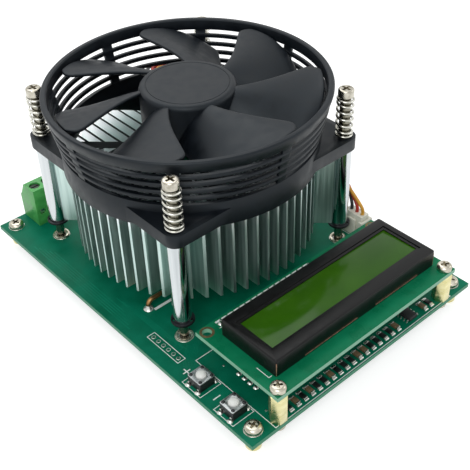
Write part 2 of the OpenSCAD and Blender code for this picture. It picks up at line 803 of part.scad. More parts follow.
// Moulded fan frame with corner plates, struts and the motor seat
module fan_frame() {
    side = post_pitch + 2 * plate_corner;
    color("#2c3034") translate([0, cooler_y, sink_top]) difference() {
        union() {
            frame_ring();
            linear_extrude(plate_t) difference() {
                polygon(round_rect(side, side, plate_corner));
                circle(r = skirt_out - skirt_wall / 2, $fn = 128);
            }
            for (a = strut_angles) rotate(a) translate([motor_r - 1, -strut_w / 2, 0])
                cube([lip_in + 0.5 - motor_r + 1, strut_w, strut_h]);
            cylinder(r = motor_r, h = motor_t);
            cylinder(r = tube_out, h = tube_top);
        }
        translate([0, 0, motor_t]) cylinder(r = tube_out - tube_wall, h = tube_top);
        for (sx = [-1, 1], sy = [-1, 1]) translate([sx * post_pitch / 2, sy * post_pitch / 2, -cut])
            cylinder(d = shank_d + 6 * fit_gap, h = plate_t + 2 * cut);
        rotate(lead_strut) translate([skirt_out - 2 * ring_wall, -lead_notch_w / 2, plate_t])
            cube([4 * ring_wall, lead_notch_w, lead_notch_h]);
    }
}

module fan_bearing() {
    color("#b08d57") translate([0, cooler_y, sink_top + motor_t]) difference() {
        cylinder(r = bearing_out, h = tube_top - motor_t);
        translate([0, 0, -cut]) cylinder(d = shaft_d + 2 * fit_gap, h = tube_top + 2 * cut);
    }
}

// Four pole steel core on the bearing tube
module fan_stator() {
    color("#8d9094") translate([0, cooler_y, sink_top + stator_z]) linear_extrude(stator_h) difference() {
        union() {
            circle(r = coil_in - 0.2);
            for (q = [0 : 3]) rotate(q * 90) {
                translate([0, -arm_w / 2]) square([stator_r - pole_t / 2, arm_w]);
                intersection() {
                    difference() {
                        circle(r = stator_r);
                        circle(r = stator_r - pole_t);
                    }
                    polygon([[0, 0], [2 * stator_r, -1.4 * stator_r], [2 * stator_r, 1.4 * stator_r]]);
                }
            }
        }
        circle(r = tube_out + fit_gap);
    }
}

// Copper windings around the four arms
module fan_coils() {
    color("#b5652a") translate([0, cooler_y, sink_top + coil_z]) for (q = [0 : 3]) rotate(q * 90)
        difference() {
            translate([coil_in, -coil_w / 2, 0]) cube([coil_out - coil_in, coil_w, coil_h]);
            translate([coil_in - cut, -arm_w / 2 - fit_gap, stator_z - coil_z - fit_gap])
                cube([coil_out - coil_in + 2 * cut, arm_w + 2 * fit_gap, stator_h + 2 * fit_gap]);
        }
}

module fan_driver_board() {
    color("#0f6b45") translate([0, cooler_y, sink_top + motor_t]) difference() {
        cylinder(r = driver_r, h = driver_t);
        translate([0, 0, -cut]) cylinder(r = tube_out + fit_gap, h = driver_t + 2 * cut);
    }
}

// Angle of a blade's leading edge behind its foremost point, for u from hub to tip
function lead_angle(u) = -blade_sweep * pow(1 - u, 1.6) - tip_round * pow(max(0, (u - 0.85) / 0.15), 2);
// Angle of the trailing edge
function trail_angle(u) = lead_angle(u) - blade_deg + 4 * u + 2 * tip_round * pow(max(0, (u - 0.85) / 0.15), 2);
// Middle of the blade at a span share u and a chord share s
function blade_point(u, s) =
    let (z = blade_top - blade_drop * s * s,
         tip = ring_in(z) - tip_gap,
         r = blade_root + (tip - blade_root) * u,
         a = lead_angle(u) * (1 - s) + trail_angle(u) * s)
        [r * cos(a), r * sin(a), z];
// Half thickness: thin at both edges and towards the tip
function blade_half(u, s) = blade_t / 2 * (1 - 0.3 * u) * (1 - edge_thin * pow(abs(2 * s - 1), 4));
function blade_ring(u) = concat(
    [for (i = [0 : chord_steps]) let (s = i / chord_steps) blade_point(u, s) + [0, 0, blade_half(u, s)]],
    [for (i = [chord_steps : -1 : 0]) let (s = i / chord_steps) blade_point(u, s) - [0, 0, blade_half(u, s)]]
);

// Lofted blade from inside the hub wall to the tip
module blade() {
    m = 2 * chord_steps + 2;
    far = span_steps * m;
    points = [for (j = [0 : span_steps]) each blade_ring(j / span_steps)];
    sides = [for (k = [0 : span_steps - 1], i = [0 : m - 1])
        [k * m + i, (k + 1) * m + i, (k + 1) * m + (i + 1) % m, k * m + (i + 1) % m]];
    root_end = [for (i = [0 : chord_steps - 1]) [i, i + 1, m - 2 - i, m - 1 - i]];
    tip_end = [for (q = root_end) [far + q[3], far + q[2], far + q[1], far + q[0]]];
    polyhedron(points, concat(root_end, sides, tip_end));
}

// Hub cup with a shaft boss and swept blades
module fan_rotor() {
    edge = 0.8;
    color("#2f3337") translate([0, cooler_y, sink_top]) union() {
        rotate_extrude($fn = 96) polygon([
            [hub_in, hub_bottom], [hub_r, hub_bottom], [hub_r, hub_top - edge], [hub_r - 0.25 * edge, hub_top - 0.25 * edge],
            [hub_r - edge, hub_top], [0, hub_top], [0, hub_top - hub_cap / 2], [shaft_d / 2 + fit_gap, hub_top - hub_cap / 2],
            [shaft_d / 2 + fit_gap, hub_top - hub_cap - hub_boss_h], [hub_boss_r, hub_top - hub_cap - hub_boss_h],
            [hub_boss_r, hub_top - hub_cap], [hub_in, hub_top - hub_cap]]);
        for (k = [0 : blade_count - 1]) rotate(blade_base + k * 360 / blade_count) blade();
    }
}

module rotor_yoke() {
    color("#6f7276") translate([0, cooler_y, sink_top + hub_bottom]) difference() {
        cylinder(r = yoke_out, h = hub_h - hub_cap);
        translate([0, 0, -cut]) cylinder(r = yoke_out - yoke_t, h = hub_h + 2 * cut);
    }
}

module rotor_magnet() {
    color("#3a3a3c") translate([0, cooler_y, sink_top + hub_bottom]) difference() {
        cylinder(r = magnet_out, h = hub_h - hub_cap);
        translate([0, 0, -cut]) cylinder(r = magnet_out - magnet_t, h = hub_h + 2 * cut);
    }
}

module rotor_shaft() {
    foot = motor_t + shaft_clear;
    color("#b9bcc0") translate([0, cooler_y, sink_top + foot])
        cylinder(d = shaft_d, h = hub_top - hub_cap / 2 - foot);
}

// Bright sleeves between the corner plates and the clips
module cooler_sleeves() {
    color("#d4d8da") at_points(post_points, sink_z) difference() {
        cylinder(d = sleeve_d, h = sink_h);
        translate([0, 0, -cut]) cylinder(d = shank_d + 6 * fit_gap, h = sink_h + 2 * cut);
    }
}

// Long shoulder screws with a clip groove and a threaded end below the board
module cooler_screws() {
    groove_z = clip_z - fit_gap;
    groove_h = clip_t + 2 * fit_gap;
    bevel = 0.5;
    cross_w = 0.9;
    r = shank_d / 2;
    color("#d9d4c6") at_points(post_points, 0) difference() {
        rotate_extrude() polygon([
            [0, foot_h - nut_h - 0.6], [thread_d / 2, foot_h - nut_h - 0.6], [thread_d / 2, groove_z - clip_shoulder],
            [r, groove_z - clip_shoulder], [r, groove_z], [neck_d / 2, groove_z], [neck_d / 2, groove_z + groove_h], [r, groove_z + groove_h],
            [r, head_z], [head_d / 2, head_z], [head_d / 2, head_z + head_h - bevel],
            [head_d / 2 - bevel, head_z + head_h], [0, head_z + head_h]]);
        for (a = [0, 90]) rotate(a) translate([-head_d * 0.36, -cross_w / 2, head_z + head_h - 1.3])
            cube([head_d * 0.72, cross_w, 2]);
    }
}

// Pressed springs with closed end turns
module cooler_springs() {
    sides = 6;
    per_turn = 12;
    coil_r = shank_d / 2 + wire_d / 2 + 0.4;
    shut = wire_d * 1.08;
    rise = spring_l - wire_d - 2 * shut - 2 * fit_gap;
    turns = spring_turns + 2;
    steps = per_turn * turns;
    function height(t) = t < 1 ? shut * t : t > turns - 1 ? rise + shut + shut * (t - turns + 1)
        : shut + rise * (t - 1) / (turns - 2);
    path = [for (k = [0 : steps]) let (t = k / per_turn)
        [coil_r * cos(360 * t), coil_r * sin(360 * t), wire_d / 2 + fit_gap + height(t)]];
    color("#dcd8cc") at_points(post_points, plate_top) tube_along(path, wire_d, sides);
}

// Open retaining clips in the screw grooves
module cooler_clips() {
    mouth = neck_d * 0.8;
    color("#2a2b2d") at_points(post_points, clip_z) rotate(45) linear_extrude(clip_t) difference() {
        circle(r = clip_r);
        circle(d = neck_d + 2 * fit_gap);
        translate([0, -mouth / 2]) square([2 * clip_r, mouth]);
        for (a = [110, 250]) rotate(a) translate([clip_r * 0.72, 0]) circle(r = clip_r * 0.17, $fn = 24);
    }
}

// Nuts under the board and the bright collars round the screws above it
module cooler_nuts() {
    color("#c9c6bb") {
        at_points(post_points, foot_h - nut_h) difference() {
            cylinder(d = nut_af / cos(30), h = nut_h, $fn = 6);
            translate([0, 0, -cut]) cylinder(d = thread_d + 2 * fit_gap, h = nut_h + 2 * cut);
        }
        at_points(post_points, board_top) difference() {
            cylinder(r = collar_out, h = collar_h);
            translate([0, 0, -cut]) cylinder(r = collar_in, h = collar_h + 2 * cut);
        }
    }
}

// Button bodies with the well that guides each cap
module button_bodies() {
    body_h = key_h - cover_t;
    well_d = key_flange_d + 2 * key_gap;
    color("#1a1b1d") at_points(key_points, board_top) difference() {
        linear_extrude(body_h) polygon(round_rect(key_w, key_w, 0.4, 3));
        translate([0, 0, key_well]) cylinder(d = well_d, h = body_h);
    }
}

// Sheet covers riveted over the bodies
module button_covers() {
    rivet = 0.45;
    rivet_at = key_w / 2 - 0.8;
    color("#b9bcc0") at_points(key_points, board_top + key_h - cover_t) {
        linear_extrude(cover_t) difference() {
            polygon(round_rect(key_w, key_w, 0.4, 3));
            circle(d = key_cap_d + 2 * key_gap);
        }
        for (sx = [-1, 1], sy = [-1, 1]) translate([sx * rivet_at, sy * rivet_at, 0])
            cylinder(r = rivet, h = cover_t + 0.15, $fn = 24);
    }
}

// Bent legs that leave each body sideways and go down through the board
module button_legs() {
    shoulder = 1.2;
    reach = key_leg_x + key_leg_t / 2 - key_w / 2;
    color("#d5d6d8") for (k = key_points, sx = [0, 1], sy = [-1, 1])
        translate([k.x, k.y + sy * key_leg_y, 0]) mirror([sx, 0, 0]) {
            translate([key_leg_x - key_leg_t / 2, -key_leg_w / 2, foot_h - tail])
                cube([key_leg_t, key_leg_w, tail + board_t + shoulder]);
            translate([key_w / 2, -key_leg_w / 2, board_top + shoulder - key_leg_t])
                cube([reach, key_leg_w, key_leg_t]);
        }
}

// Cap with a flange under the cover
module button_cap(p) {
    flange_z = key_h - cover_t - key_gap;
    flange_t = 0.6;
    r = key_cap_d / 2;
    color("#efefec") translate([p.x, p.y, board_top]) rotate_extrude() polygon(concat(
        [[0, key_well + key_travel + key_gap], [r, key_well + key_travel + key_gap], [r, flange_z - flange_t],
            [key_flange_d / 2, flange_z - flange_t], [key_flange_d / 2, flange_z], [r, flange_z]],
        [for (a = [0 : 15 : 75]) [r * cos(a), key_top - key_dome + key_dome * sin(a)]],
        [[0, key_top]]));
}

module button_cap_front() {
    button_cap(key_points[0]);
}

module button_cap_rear() {
    button_cap(key_points[1]);
}

// Moulded terminal housing with a clamp well, a screw hole and a wire entry per pole
module terminal_housing() {
    nose = 9.6;
    funnel = 0.6;
    probe_w = 2.4;
    color("#4fae3a") translate([0, block_y, board_top]) difference() {
        translate([block_cx + block_w / 2, 0, 0]) rotate([0, -90, 0]) linear_extrude(block_w)
            polygon([[0, 0], [block_h, 0], [block_h, block_top_d], [nose + 1.4, block_d - 1.2],
                [nose, block_d], [0, block_d]]);
        for (x = pole_x) translate([x, 0, 0]) {
            translate([-cavity_w / 2, cavity_y, cavity_z]) cube([cavity_w, cavity_d, cavity_h]);
            translate([0, screw_y, screw_z - ledge_t - cut]) cylinder(d = screw_d + 0.4, h = ledge_t + 2 * cut);
            translate([0, screw_y, screw_z]) cylinder(d = screw_head_d + 0.4, h = block_h);
            translate([0, cavity_y + cavity_d - cut, entry_z]) rotate([-90, 0, 0])
                cylinder(d = entry_d, h = block_d);
            translate([0, block_d - funnel, entry_z]) rotate([-90, 0, 0])
                cylinder(d1 = entry_d, d2 = entry_d + 2 * funnel, h = funnel + fit_gap);
            translate([-probe_w / 2, -cut, cage_z]) cube([probe_w, cavity_y + 2 * cut, probe_w]);
            translate([-contact_w_pin / 2 - pin_gap, contact_y - pin_gap, -cut])
                cube([contact_w_pin + 2 * pin_gap, contact_t + 2 * pin_gap, cavity_z + 2 * cut]);
        }
    }
}

// Fixed contact bars through the cages, with their board pins
module terminal_contacts() {
    color("#cfd1d3") for (x = pole_x) translate([x, block_y + contact_y, board_top]) {
        translate([-bar_w / 2, 0, bar_z]) cube([bar_w, cavity_d - 0.3, bar_t]);
        translate([-bar_w / 2, 0, cavity_z]) cube([bar_w, contact_t, bar_z + bar_t - cavity_z]);
        translate([-contact_w_pin / 2, 0, -board_t - tail]) cube([contact_w_pin, contact_t, board_t + tail + bar_z]);
    }
}

// Slotted clamp screw held by the ledge under its head
module terminal_screw(x) {
    slot = 0.6;
    bottom = bar_z + bar_t + 0.4;
    color("#c4c6c8") translate([x, block_y + screw_y, board_top]) difference() {
        union() {
            translate([0, 0, screw_z]) cylinder(d = screw_head_d, h = screw_head_h);
            translate([0, 0, bottom]) cylinder(d = screw_d, h = screw_z - bottom + screw_head_h / 2);
        }
        translate([-screw_head_d, -slot / 2, screw_z + screw_head_h - 0.8]) cube([2 * screw_head_d, slot, 2]);
    }
}

// Rising clamp cage around the contact bar
module terminal_cage(x) {
    color("#d0d2d4") translate([x, block_y + cage_y, board_top + cage_z]) difference() {
        translate([-cage_w / 2, 0, 0]) cube([cage_w, cage_d, cage_h]);
        translate([-cage_window_w / 2, -cut, cage_floor]) cube([cage_window_w, cage_d + 2 * cut, cage_window]);
        translate([0, cage_d / 2, cage_floor + cage_window - cut])
            cylinder(d = screw_d + 2 * fit_gap, h = cage_roof + 2 * cut);
    }
}

module terminal_screw_left() {
    terminal_screw(pole_x[0]);
}

module terminal_screw_right() {
    terminal_screw(pole_x[1]);
}

module terminal_cage_left() {
    terminal_cage(pole_x[0]);
}

module terminal_cage_right() {
    terminal_cage(pole_x[1]);
}

// Open topped fan header with a slotted front wall
module fan_header() {
    key_slot = 1.4;
    color("#e6e0c8") translate([plug_cx, plug_cy, board_top]) difference() {
        translate([-header_w / 2, -header_l / 2, 0]) cube([header_w, header_l, header_h]);
        translate([-header_w / 2 + header_wall, -header_l / 2 + header_wall, header_floor])
            cube([header_w - 2 * header_wall, header_l - 2 * header_wall, header_h]);
        for (s = [-1, 1]) translate([-header_w, s * plug_pitch - key_slot / 2, header_floor])
            cube([header_w, key_slot, header_h]);
        for (i = [-1 : plug_ways - 2]) translate([0, i * plug_pitch, -cut])
            square_pin(pin_w, header_floor + 2 * cut);
    }
}

module fan_header_pins() {
    color("#d8d2b0") at_points(plug_points, foot_h - tail)
        square_pin(pin_w, tail + board_t + header_h - 1);
}

// Plug pushed into the header, with a wire well over each pin
module fan_plug() {
    w = header_w - 2 * header_wall - 2 * plug_play;
    l = header_l - 2 * header_wall - 2 * plug_play;
    h = header_h + plug_up - header_floor;
    color("#efe9d2") translate([plug_cx, plug_cy, board_top + header_floor]) difference() {
        translate([-w / 2, -l / 2, 0]) cube([w, l, h]);
        for (i = [-1 : plug_ways - 2]) translate([0, i * plug_pitch, -cut])
            cylinder(d = pin_hole_d, h = header_h - header_floor, $fn = 32);
        for (i = [-1 : plug_ways - 2]) translate([0, i * plug_pitch, h - 1])
            cylinder(d = lead_d + 2 * pin_gap, h = 1 + cut, $fn = 32);
    }
}

// Three fan wires along the strut, round the ring and down to the plug
module fan_lead() {
    start = [0, cooler_y, sink_top];
    color("#c9341f") for (i = [-1 : 1]) {
        hand = [for (q = lead_points) start + q[1] * [cos(q[0]), sin(q[0]), 0] + [0, 0, q[2]]
            + i * q[4] * [cos(q[3]), sin(q[3]), 0]];
        foot = [plug_cx, plug_cy - i * plug_pitch, plug_top];
        path = concat(hand, [foot + [0, 0, lead_rise], foot - [0, 0, lead_in]]);
        tube_along([for (k = [0 : len(path) - 2], s = [0, 0.5]) bend(path, k, s), each [path[len(path) - 1]]],
            lead_d, lead_sides);
    }
}

// Smooth curve through a list of points, at share s between points k and k + 1
function bend(p, k, s) =
    let (a = p[max(k - 1, 0)], b = p[k], c = p[k + 1], d = p[min(k + 2, len(p) - 1)])
        0.5 * (2 * b + (c - a) * s + (2 * a - 5 * b + 4 * c - d) * s * s + (3 * b - a - 3 * c + d) * s * s * s);

// Resistors lie in the front row wherever a capacitor does not
function is_capacitor(i) = i % 5 == 1 || i % 7 == 3;

module chip_body(p, t) {
    translate([p.x - passive_w / 2, p.y - passive_l / 2 + passive_end, board_top])
        cube([passive_w, passive_l - 2 * passive_end, t]);
}

module chip_resistors() {
    color("#1c1d20") for (i = [0 : len(passive_points) - 1])
        if (!is_capacitor(i)) chip_body(passive_points[i], passive_t);
}

module chip_capacitors() {
    color("#a98a63") for (i = [0 : len(passive_points) - 1])
        if (is_capacitor(i)) chip_body(passive_points[i], passive_w * 0.6);
}

module chip_ends() {
    color("#d9dadb") for (i = [0 : len(passive_points) - 1], s = [-1, 1])
        let (p = passive_points[i], t = is_capacitor(i) ? passive_w * 0.6 : passive_t)
            translate([p.x - passive_w / 2, p.y + s * (passive_l - passive_end) / 2 - passive_end / 2, board_top])
                cube([passive_w, passive_end, t]);
}

// Moulded package with sloping sides
module package(c, w, l) {
    slope = 0.25;
    translate([c.x, c.y - l / 2, board_top + chip_lift]) rotate([90, 0, 180]) linear_extrude(l)
        polygon([[-w / 2 + slope, 0], [-w / 2, package_t / 2], [-w / 2 + slope, package_t],
            [w / 2 - slope, package_t], [w / 2, package_t / 2], [w / 2 - slope, 0]]);
}

module amplifier_chip() {
    color("#202124") package(amp_c, amp_w, amp_l);
}

module controller_chip() {
    color("#202124") package(mcu_c, mcu_w, mcu_w);
}

// Row of bent legs along the +X side of a package
module leg_row(count, pitch, half, width) {
    t = 0.18;
    mid = package_t / 2 + chip_lift;
    for (i = [0 : count - 1]) translate([half, pitch * (i - (count - 1) / 2) + width / 2, board_top])
        rotate([90, 0, 0]) linear_extrude(width) polygon([
            [0, mid - t / 2], [chip_foot * 0.4, mid - t / 2], [chip_foot * 0.5, 0], [chip_foot, 0],
            [chip_foot, t], [chip_foot * 0.5 + t, t], [chip_foot * 0.4 + t, mid + t / 2], [0, mid + t / 2]]);
}

module chip_legs() {
    color("#d5d6d8") {
        for (a = [0, 180]) translate(amp_c) rotate(a) leg_row(amp_pins, amp_pitch, amp_w / 2, 0.42);
        for (a = [0, 180]) translate(mcu_c) rotate(a) leg_row(mcu_pins, mcu_pitch, mcu_w / 2, 0.36);
    }
}

// Moulded barrel inlet, its mouth at the board's back edge
module power_inlet() {
    collar = 3.2;
    step = 1;
    color("#1a1b1d") translate([jack_cx, jack_y, board_top]) difference() {
        union() {
            translate([-jack_w / 2, jack_l - collar, 0]) cube([jack_w, collar, jack_h]);
            translate([-jack_w / 2, 0, 0]) cube([jack_w, jack_l, jack_h - step]);
        }
        translate([0, jack_l - jack_depth, jack_axis_z]) rotate([-90, 0, 0])
            cylinder(d = jack_bore, h = jack_depth + cut);
        for (p = inlet_points) translate([p.x - jack_cx, p.y - jack_y, -cut])
            square_pin(pin_w, inlet_in + cut);
    }
}

// Centre pin of the inlet and its three board pins
module inlet_contacts() {
    color("#d8d9da") {
        translate([jack_cx, jack_y + jack_l - jack_depth, board_top + jack_axis_z]) rotate([-90, 0, 0])
            cylinder(d = jack_pin_d, h = jack_depth - 1);
        at_points(inlet_points, foot_h - tail) square_pin(pin_w, tail + board_t + inlet_in);
    }
}

// Surface mounted regulator with a metal tab
module voltage_regulator() {
    body = [6.5, 6.1, 2.3];
    tab = [5.3, 1.4, 0.9];
    color("#202124") translate([regulator_c.x, regulator_c.y, board_top]) {
        translate([-body.x / 2, -body.y / 2, 0]) cube(body);
        translate([-tab.x / 2, body.y / 2 - 0.1, 0]) cube(tab);
        for (s = [-1, 1]) translate([s * 2.28 - 0.4, -body.y / 2 - 2.4, 0]) cube([0.8, 2.5, 0.5]);
    }
}

// Upright can capacitor with a crimped groove and two leads
module supply_capacitor() {
    r = capacitor_d / 2;
    groove = 0.4;
    color("#2b2f3a") {
        translate([capacitor_c.x, capacitor_c.y, board_top]) rotate_extrude() polygon([
            [0, 0], [r - groove, 0], [r, groove], [r, 1.4], [r - groove, 1.8], [r, 2.2],
            [r, capacitor_h - groove], [r - groove, capacitor_h], [0, capacitor_h]]);
        at_points(capacitor_points, foot_h - tail) cylinder(d = 0.6, h = tail + board_t + 0.1, $fn = 24);
    }
}

main_board();
board_feet();
board_screws();
lcd_standoffs();
lcd_screws();
standoff_screws();
lcd_board();
lcd_bezel();
lcd_glass();
lcd_backlight();
lcd_contact_strips();
lcd_chip_blobs();
header_socket();
header_strip();
header_pins();
heatsink();
thermal_pad();
power_transistors();
transistor_legs();
shunt_wire();
fan_frame();
fan_bearing();
fan_stator();
fan_coils();
fan_driver_board();
fan_rotor();
rotor_yoke();
rotor_magnet();
rotor_shaft();
cooler_sleeves();
cooler_screws();
cooler_springs();
cooler_clips();
cooler_nuts();
button_bodies();
button_covers();
button_legs();
button_cap_front();
button_cap_rear();
terminal_housing();
terminal_contacts();
terminal_screw_left();
terminal_screw_right();
terminal_cage_left();
terminal_cage_right();
fan_header();
fan_header_pins();
fan_plug();
fan_lead();
chip_resistors();
chip_capacitors();
chip_ends();
amplifier_chip();
controller_chip();
chip_legs();
power_inlet();
inlet_contacts();
voltage_regulator();
supply_capacitor();
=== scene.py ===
import math
import bpy
from mathutils import Matrix, Vector


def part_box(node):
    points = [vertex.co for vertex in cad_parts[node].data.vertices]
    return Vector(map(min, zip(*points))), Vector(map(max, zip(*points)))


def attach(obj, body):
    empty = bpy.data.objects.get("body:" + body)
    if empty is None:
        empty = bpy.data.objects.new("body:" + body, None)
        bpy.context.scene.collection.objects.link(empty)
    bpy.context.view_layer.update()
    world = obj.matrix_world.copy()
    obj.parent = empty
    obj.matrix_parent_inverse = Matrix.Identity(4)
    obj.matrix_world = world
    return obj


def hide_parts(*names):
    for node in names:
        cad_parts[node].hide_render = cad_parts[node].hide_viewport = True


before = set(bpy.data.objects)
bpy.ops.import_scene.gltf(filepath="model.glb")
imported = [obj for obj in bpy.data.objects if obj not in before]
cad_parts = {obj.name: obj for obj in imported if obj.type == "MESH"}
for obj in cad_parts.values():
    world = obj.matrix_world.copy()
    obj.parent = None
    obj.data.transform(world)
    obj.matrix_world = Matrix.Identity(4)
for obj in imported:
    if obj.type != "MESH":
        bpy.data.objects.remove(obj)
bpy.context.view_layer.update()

# Stage: a pale sheet under the object, a broad soft lamp from the left front, a second from
# above and a weak one from the right. The camera stands at the photograph's point of view.
MM = 0.001
scene = bpy.context.scene
scene.view_settings.view_transform = "Standard"

camera = bpy.data.objects.new("camera", bpy.data.cameras.new("camera"))
scene.collection.objects.link(camera)
camera.data.sensor_width = 36
camera.data.lens = 67.38
camera.data.clip_start = 0.01
camera.data.clip_end = 20
camera_place = (-0.15316, -0.18661, 0.20968)
right = Vector((0.74499, -0.66647, -0.02834))
ahead = Vector((0.50575, 0.59201, -0.62748))
up = right.cross(ahead)
camera.matrix_world = Matrix.Translation(camera_place) @ Matrix((right, up, -ahead)).transposed().to_4x4()
scene.camera = camera


def link(tree, start, output, end, entry):
    tree.links.new(start.outputs[output], end.inputs[entry])


def reckon(tree, operation):
    """A node that works out one number from others."""
    node = tree.nodes.new("ShaderNodeMath")
    node.operation = operation
    return node


def seen_directly(tree):
    """1 for rays from the camera, from gloss or through glass, and 0 for light on the object."""
    rays = tree.nodes.new("ShaderNodeLightPath")
    first = reckon(tree, "MAXIMUM")
    both = reckon(tree, "MAXIMUM")
    link(tree, rays, "Is Camera Ray", first, 0)
    link(tree, rays, "Is Glossy Ray", first, 1)
    link(tree, first, 0, both, 0)
    link(tree, rays, "Is Transmission Ray", both, 1)
    return both


world = bpy.data.worlds.new("studio")
scene.world = world
world.use_nodes = True
sky = world.node_tree
sky_light = sky.nodes["Background"]
sky_light.inputs["Color"].default_value = (1, 1, 1, 1)
sky_level = sky.nodes.new("ShaderNodeMapRange")
sky_level.inputs["To Min"].default_value = 0.5
sky_level.inputs["To Max"].default_value = 1
link(sky, seen_directly(sky), 0, sky_level, "Value")
link(sky, sky_level, "Result", sky_light, "Strength")

bpy.ops.object.select_all(action="DESELECT")
bpy.ops.mesh.primitive_plane_add(size=8, location=(0, 0, -0.0002))
floor = bpy.context.active_object
floor.name = "floor"
paper = bpy.data.materials.new("paper")
paper.use_nodes = True
matt = paper.node_tree.nodes["Principled BSDF"]
matt.inputs["Base Color"].default_value = (0.62, 0.63, 0.63, 1)
matt.inputs["Roughness"].default_value = 0.9
matt.inputs["Specular IOR Level"].default_value = 0.1
matt.inputs["Emission Color"].default_value = (1, 1, 1, 1)
paper_level = reckon(paper.node_tree, "MULTIPLY")
paper_level.inputs[1].default_value = 0.64
link(paper.node_tree, seen_directly(paper.node_tree), 0, paper_level, 0)
link(paper.node_tree, paper_level, 0, matt, "Emission Strength")
floor.data.materials.append(paper)

middle = Vector((0, 0, 0.03))
for name, place, power, size in (("lamp_left", (-0.75, -0.55, 0.95), 5.5, 0.7),
                                 ("lamp_top", (0.1, 0.55, 1.0), 5.0, 0.9),
                                 ("lamp_right", (0.9, -0.5, 0.6), 1.1, 0.5)):
    lamp = bpy.data.objects.new(name, bpy.data.lights.new(name, "AREA"))
    scene.collection.objects.link(lamp)
    lamp.data.energy = power
    lamp.data.size = size
    lamp.location = place
    lamp.rotation_euler = (middle - Vector(place)).to_track_quat("-Z", "Y").to_euler()


# Main board: glass-fibre laminate under dark green solder resist, cut and drilled in one sheet.
# The copper under the resist shows as paler lanes, the ink on it is white, the bare pads are tinned.
def paint(code):
    """A written colour such as #0a6149 as the shader's linear colour."""
    parts = [int(code[i:i + 2], 16) / 255 for i in (1, 3, 5)]
    return tuple(c / 12.92 if c <= 0.04045 else ((c + 0.055) / 1.055) ** 2.4 for c in parts) + (1,)


def made_of(name, dark, light, grain, rough, metal=0.0, bump=0.0, stretch=(1, 1, 1), level=0.5):
    """A finish whose colour, gloss and height follow one grain, fixed to the piece."""
    material = bpy.data.materials.new(name)
    material.use_nodes = True
    tree = material.node_tree
    shader = tree.nodes["Principled BSDF"]
    shader.inputs["Metallic"].default_value = metal
    shader.inputs["Specular IOR Level"].default_value = level
    place = tree.nodes.new("ShaderNodeTexCoord")
    turn = tree.nodes.new("ShaderNodeMapping")
    turn.inputs["Scale"].default_value = stretch
    noise = tree.nodes.new("ShaderNodeTexNoise")
    noise.inputs["Scale"].default_value = grain
    noise.inputs["Detail"].default_value = 5
    ramp = tree.nodes.new("ShaderNodeValToRGB")
    ramp.color_ramp.elements[0].position = 0.3
    ramp.color_ramp.elements[1].position = 0.7
    ramp.color_ramp.elements[0].color = paint(dark)
    ramp.color_ramp.elements[1].color = paint(light)
    gloss = tree.nodes.new("ShaderNodeMapRange")
    gloss.inputs["From Min"].default_value = 0.3
    gloss.inputs["From Max"].default_value = 0.7
    gloss.inputs["To Min"].default_value = rough[0]
    gloss.inputs["To Max"].default_value = rough[1]
    link(tree, place, "Object", turn, "Vector")
    link(tree, turn, "Vector", noise, "Vector")
    link(tree, noise, "Fac", ramp, "Fac")
    link(tree, ramp, "Color", shader, "Base Color")
    link(tree, noise, "Fac", gloss, "Value")
    link(tree, gloss, "Result", shader, "Roughness")
    if bump:
        height = tree.nodes.new("ShaderNodeBump")
        height.inputs["Strength"].default_value = 0.35
        height.inputs["Distance"].default_value = bump * MM
        link(tree, noise, "Fac", height, "Height")
        link(tree, height, "Normal", shader, "Normal")
    return material


def second_colour(material, blend="MIX"):
    """A mix between a finish's colour and its shader, through which a second colour comes in."""
    tree = material.node_tree
    shader = tree.nodes["Principled BSDF"]
    mix = tree.nodes.new("ShaderNodeMix")
    mix.data_type = "RGBA"
    mix.blend_type = blend
    tree.links.new(shader.inputs["Base Color"].links[0].from_socket, mix.inputs["A"])
    link(tree, mix, "Result", shader, "Base Color")
    return mix


def height_on(tree):
    """The place on the piece, split so that Z gives the height over the floor."""
    place = tree.nodes.new("ShaderNodeTexCoord")
    axes = tree.nodes.new("ShaderNodeSeparateXYZ")
    link(tree, place, "Object", axes, "Vector")
    return axes


def banded(material, colour, low, high):
    """Shows another colour between two heights in millimetres: the sawn walls of a board, and painted shade
    on the heatsink's top faces and on the cooler screws' shanks.
    """
    tree = material.node_tree
    within = reckon(tree, "COMPARE")
    within.inputs[1].default_value = (low + high) / 2 * MM
    within.inputs[2].default_value = ((high - low) / 2 - 0.03) * MM
    band = second_colour(material)
    band.inputs["B"].default_value = paint(colour)
    link(tree, height_on(tree), "Z", within, 0)
    link(tree, within, 0, band, "Factor")


def coat(node, material):
    """Gives its finish to a solid that stays as it is."""
    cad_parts[node].data.materials.clear()
    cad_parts[node].data.materials.append(material)


def only(piece):
    """Selects one piece and nothing else, for the operators that follow."""
    bpy.ops.object.select_all(action="DESELECT")
    piece.select_set(True)
    bpy.context.view_layer.objects.active = piece


def dress(piece, body, slot, material, *nodes):
    """Puts a finished piece on its body, in place of the solids that it stands for."""
    only(piece)
    bpy.ops.object.transform_apply(location=True, rotation=True, scale=True)
    bpy.ops.object.shade_smooth_by_angle(angle=math.radians(32))
    piece.data.materials.clear()
    piece.data.materials.append(material)
    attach(piece, body)
    if nodes:
        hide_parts(*nodes)
    return piece


def together(name, pieces):
    """Joins loose pieces into one."""
    bpy.ops.object.select_all(action="DESELECT")
    for piece in pieces:
        piece.select_set(True)
    bpy.context.view_layer.objects.active = pieces[0]
    if len(pieces) > 1:
        bpy.ops.object.join()
    pieces[0].name = name
    return pieces[0]


def block(place, size, turn=0):
    """A block to start from, by its middle and its three sizes in metres, turned about the Z axis."""
    bpy.ops.object.select_all(action="DESELECT")
    bpy.ops.mesh.primitive_cube_add(size=1, location=place, rotation=(0, 0, turn))
    piece = bpy.context.active_object
    piece.scale = size
    bpy.ops.object.transform_apply(location=True, rotation=True, scale=True)
    return piece


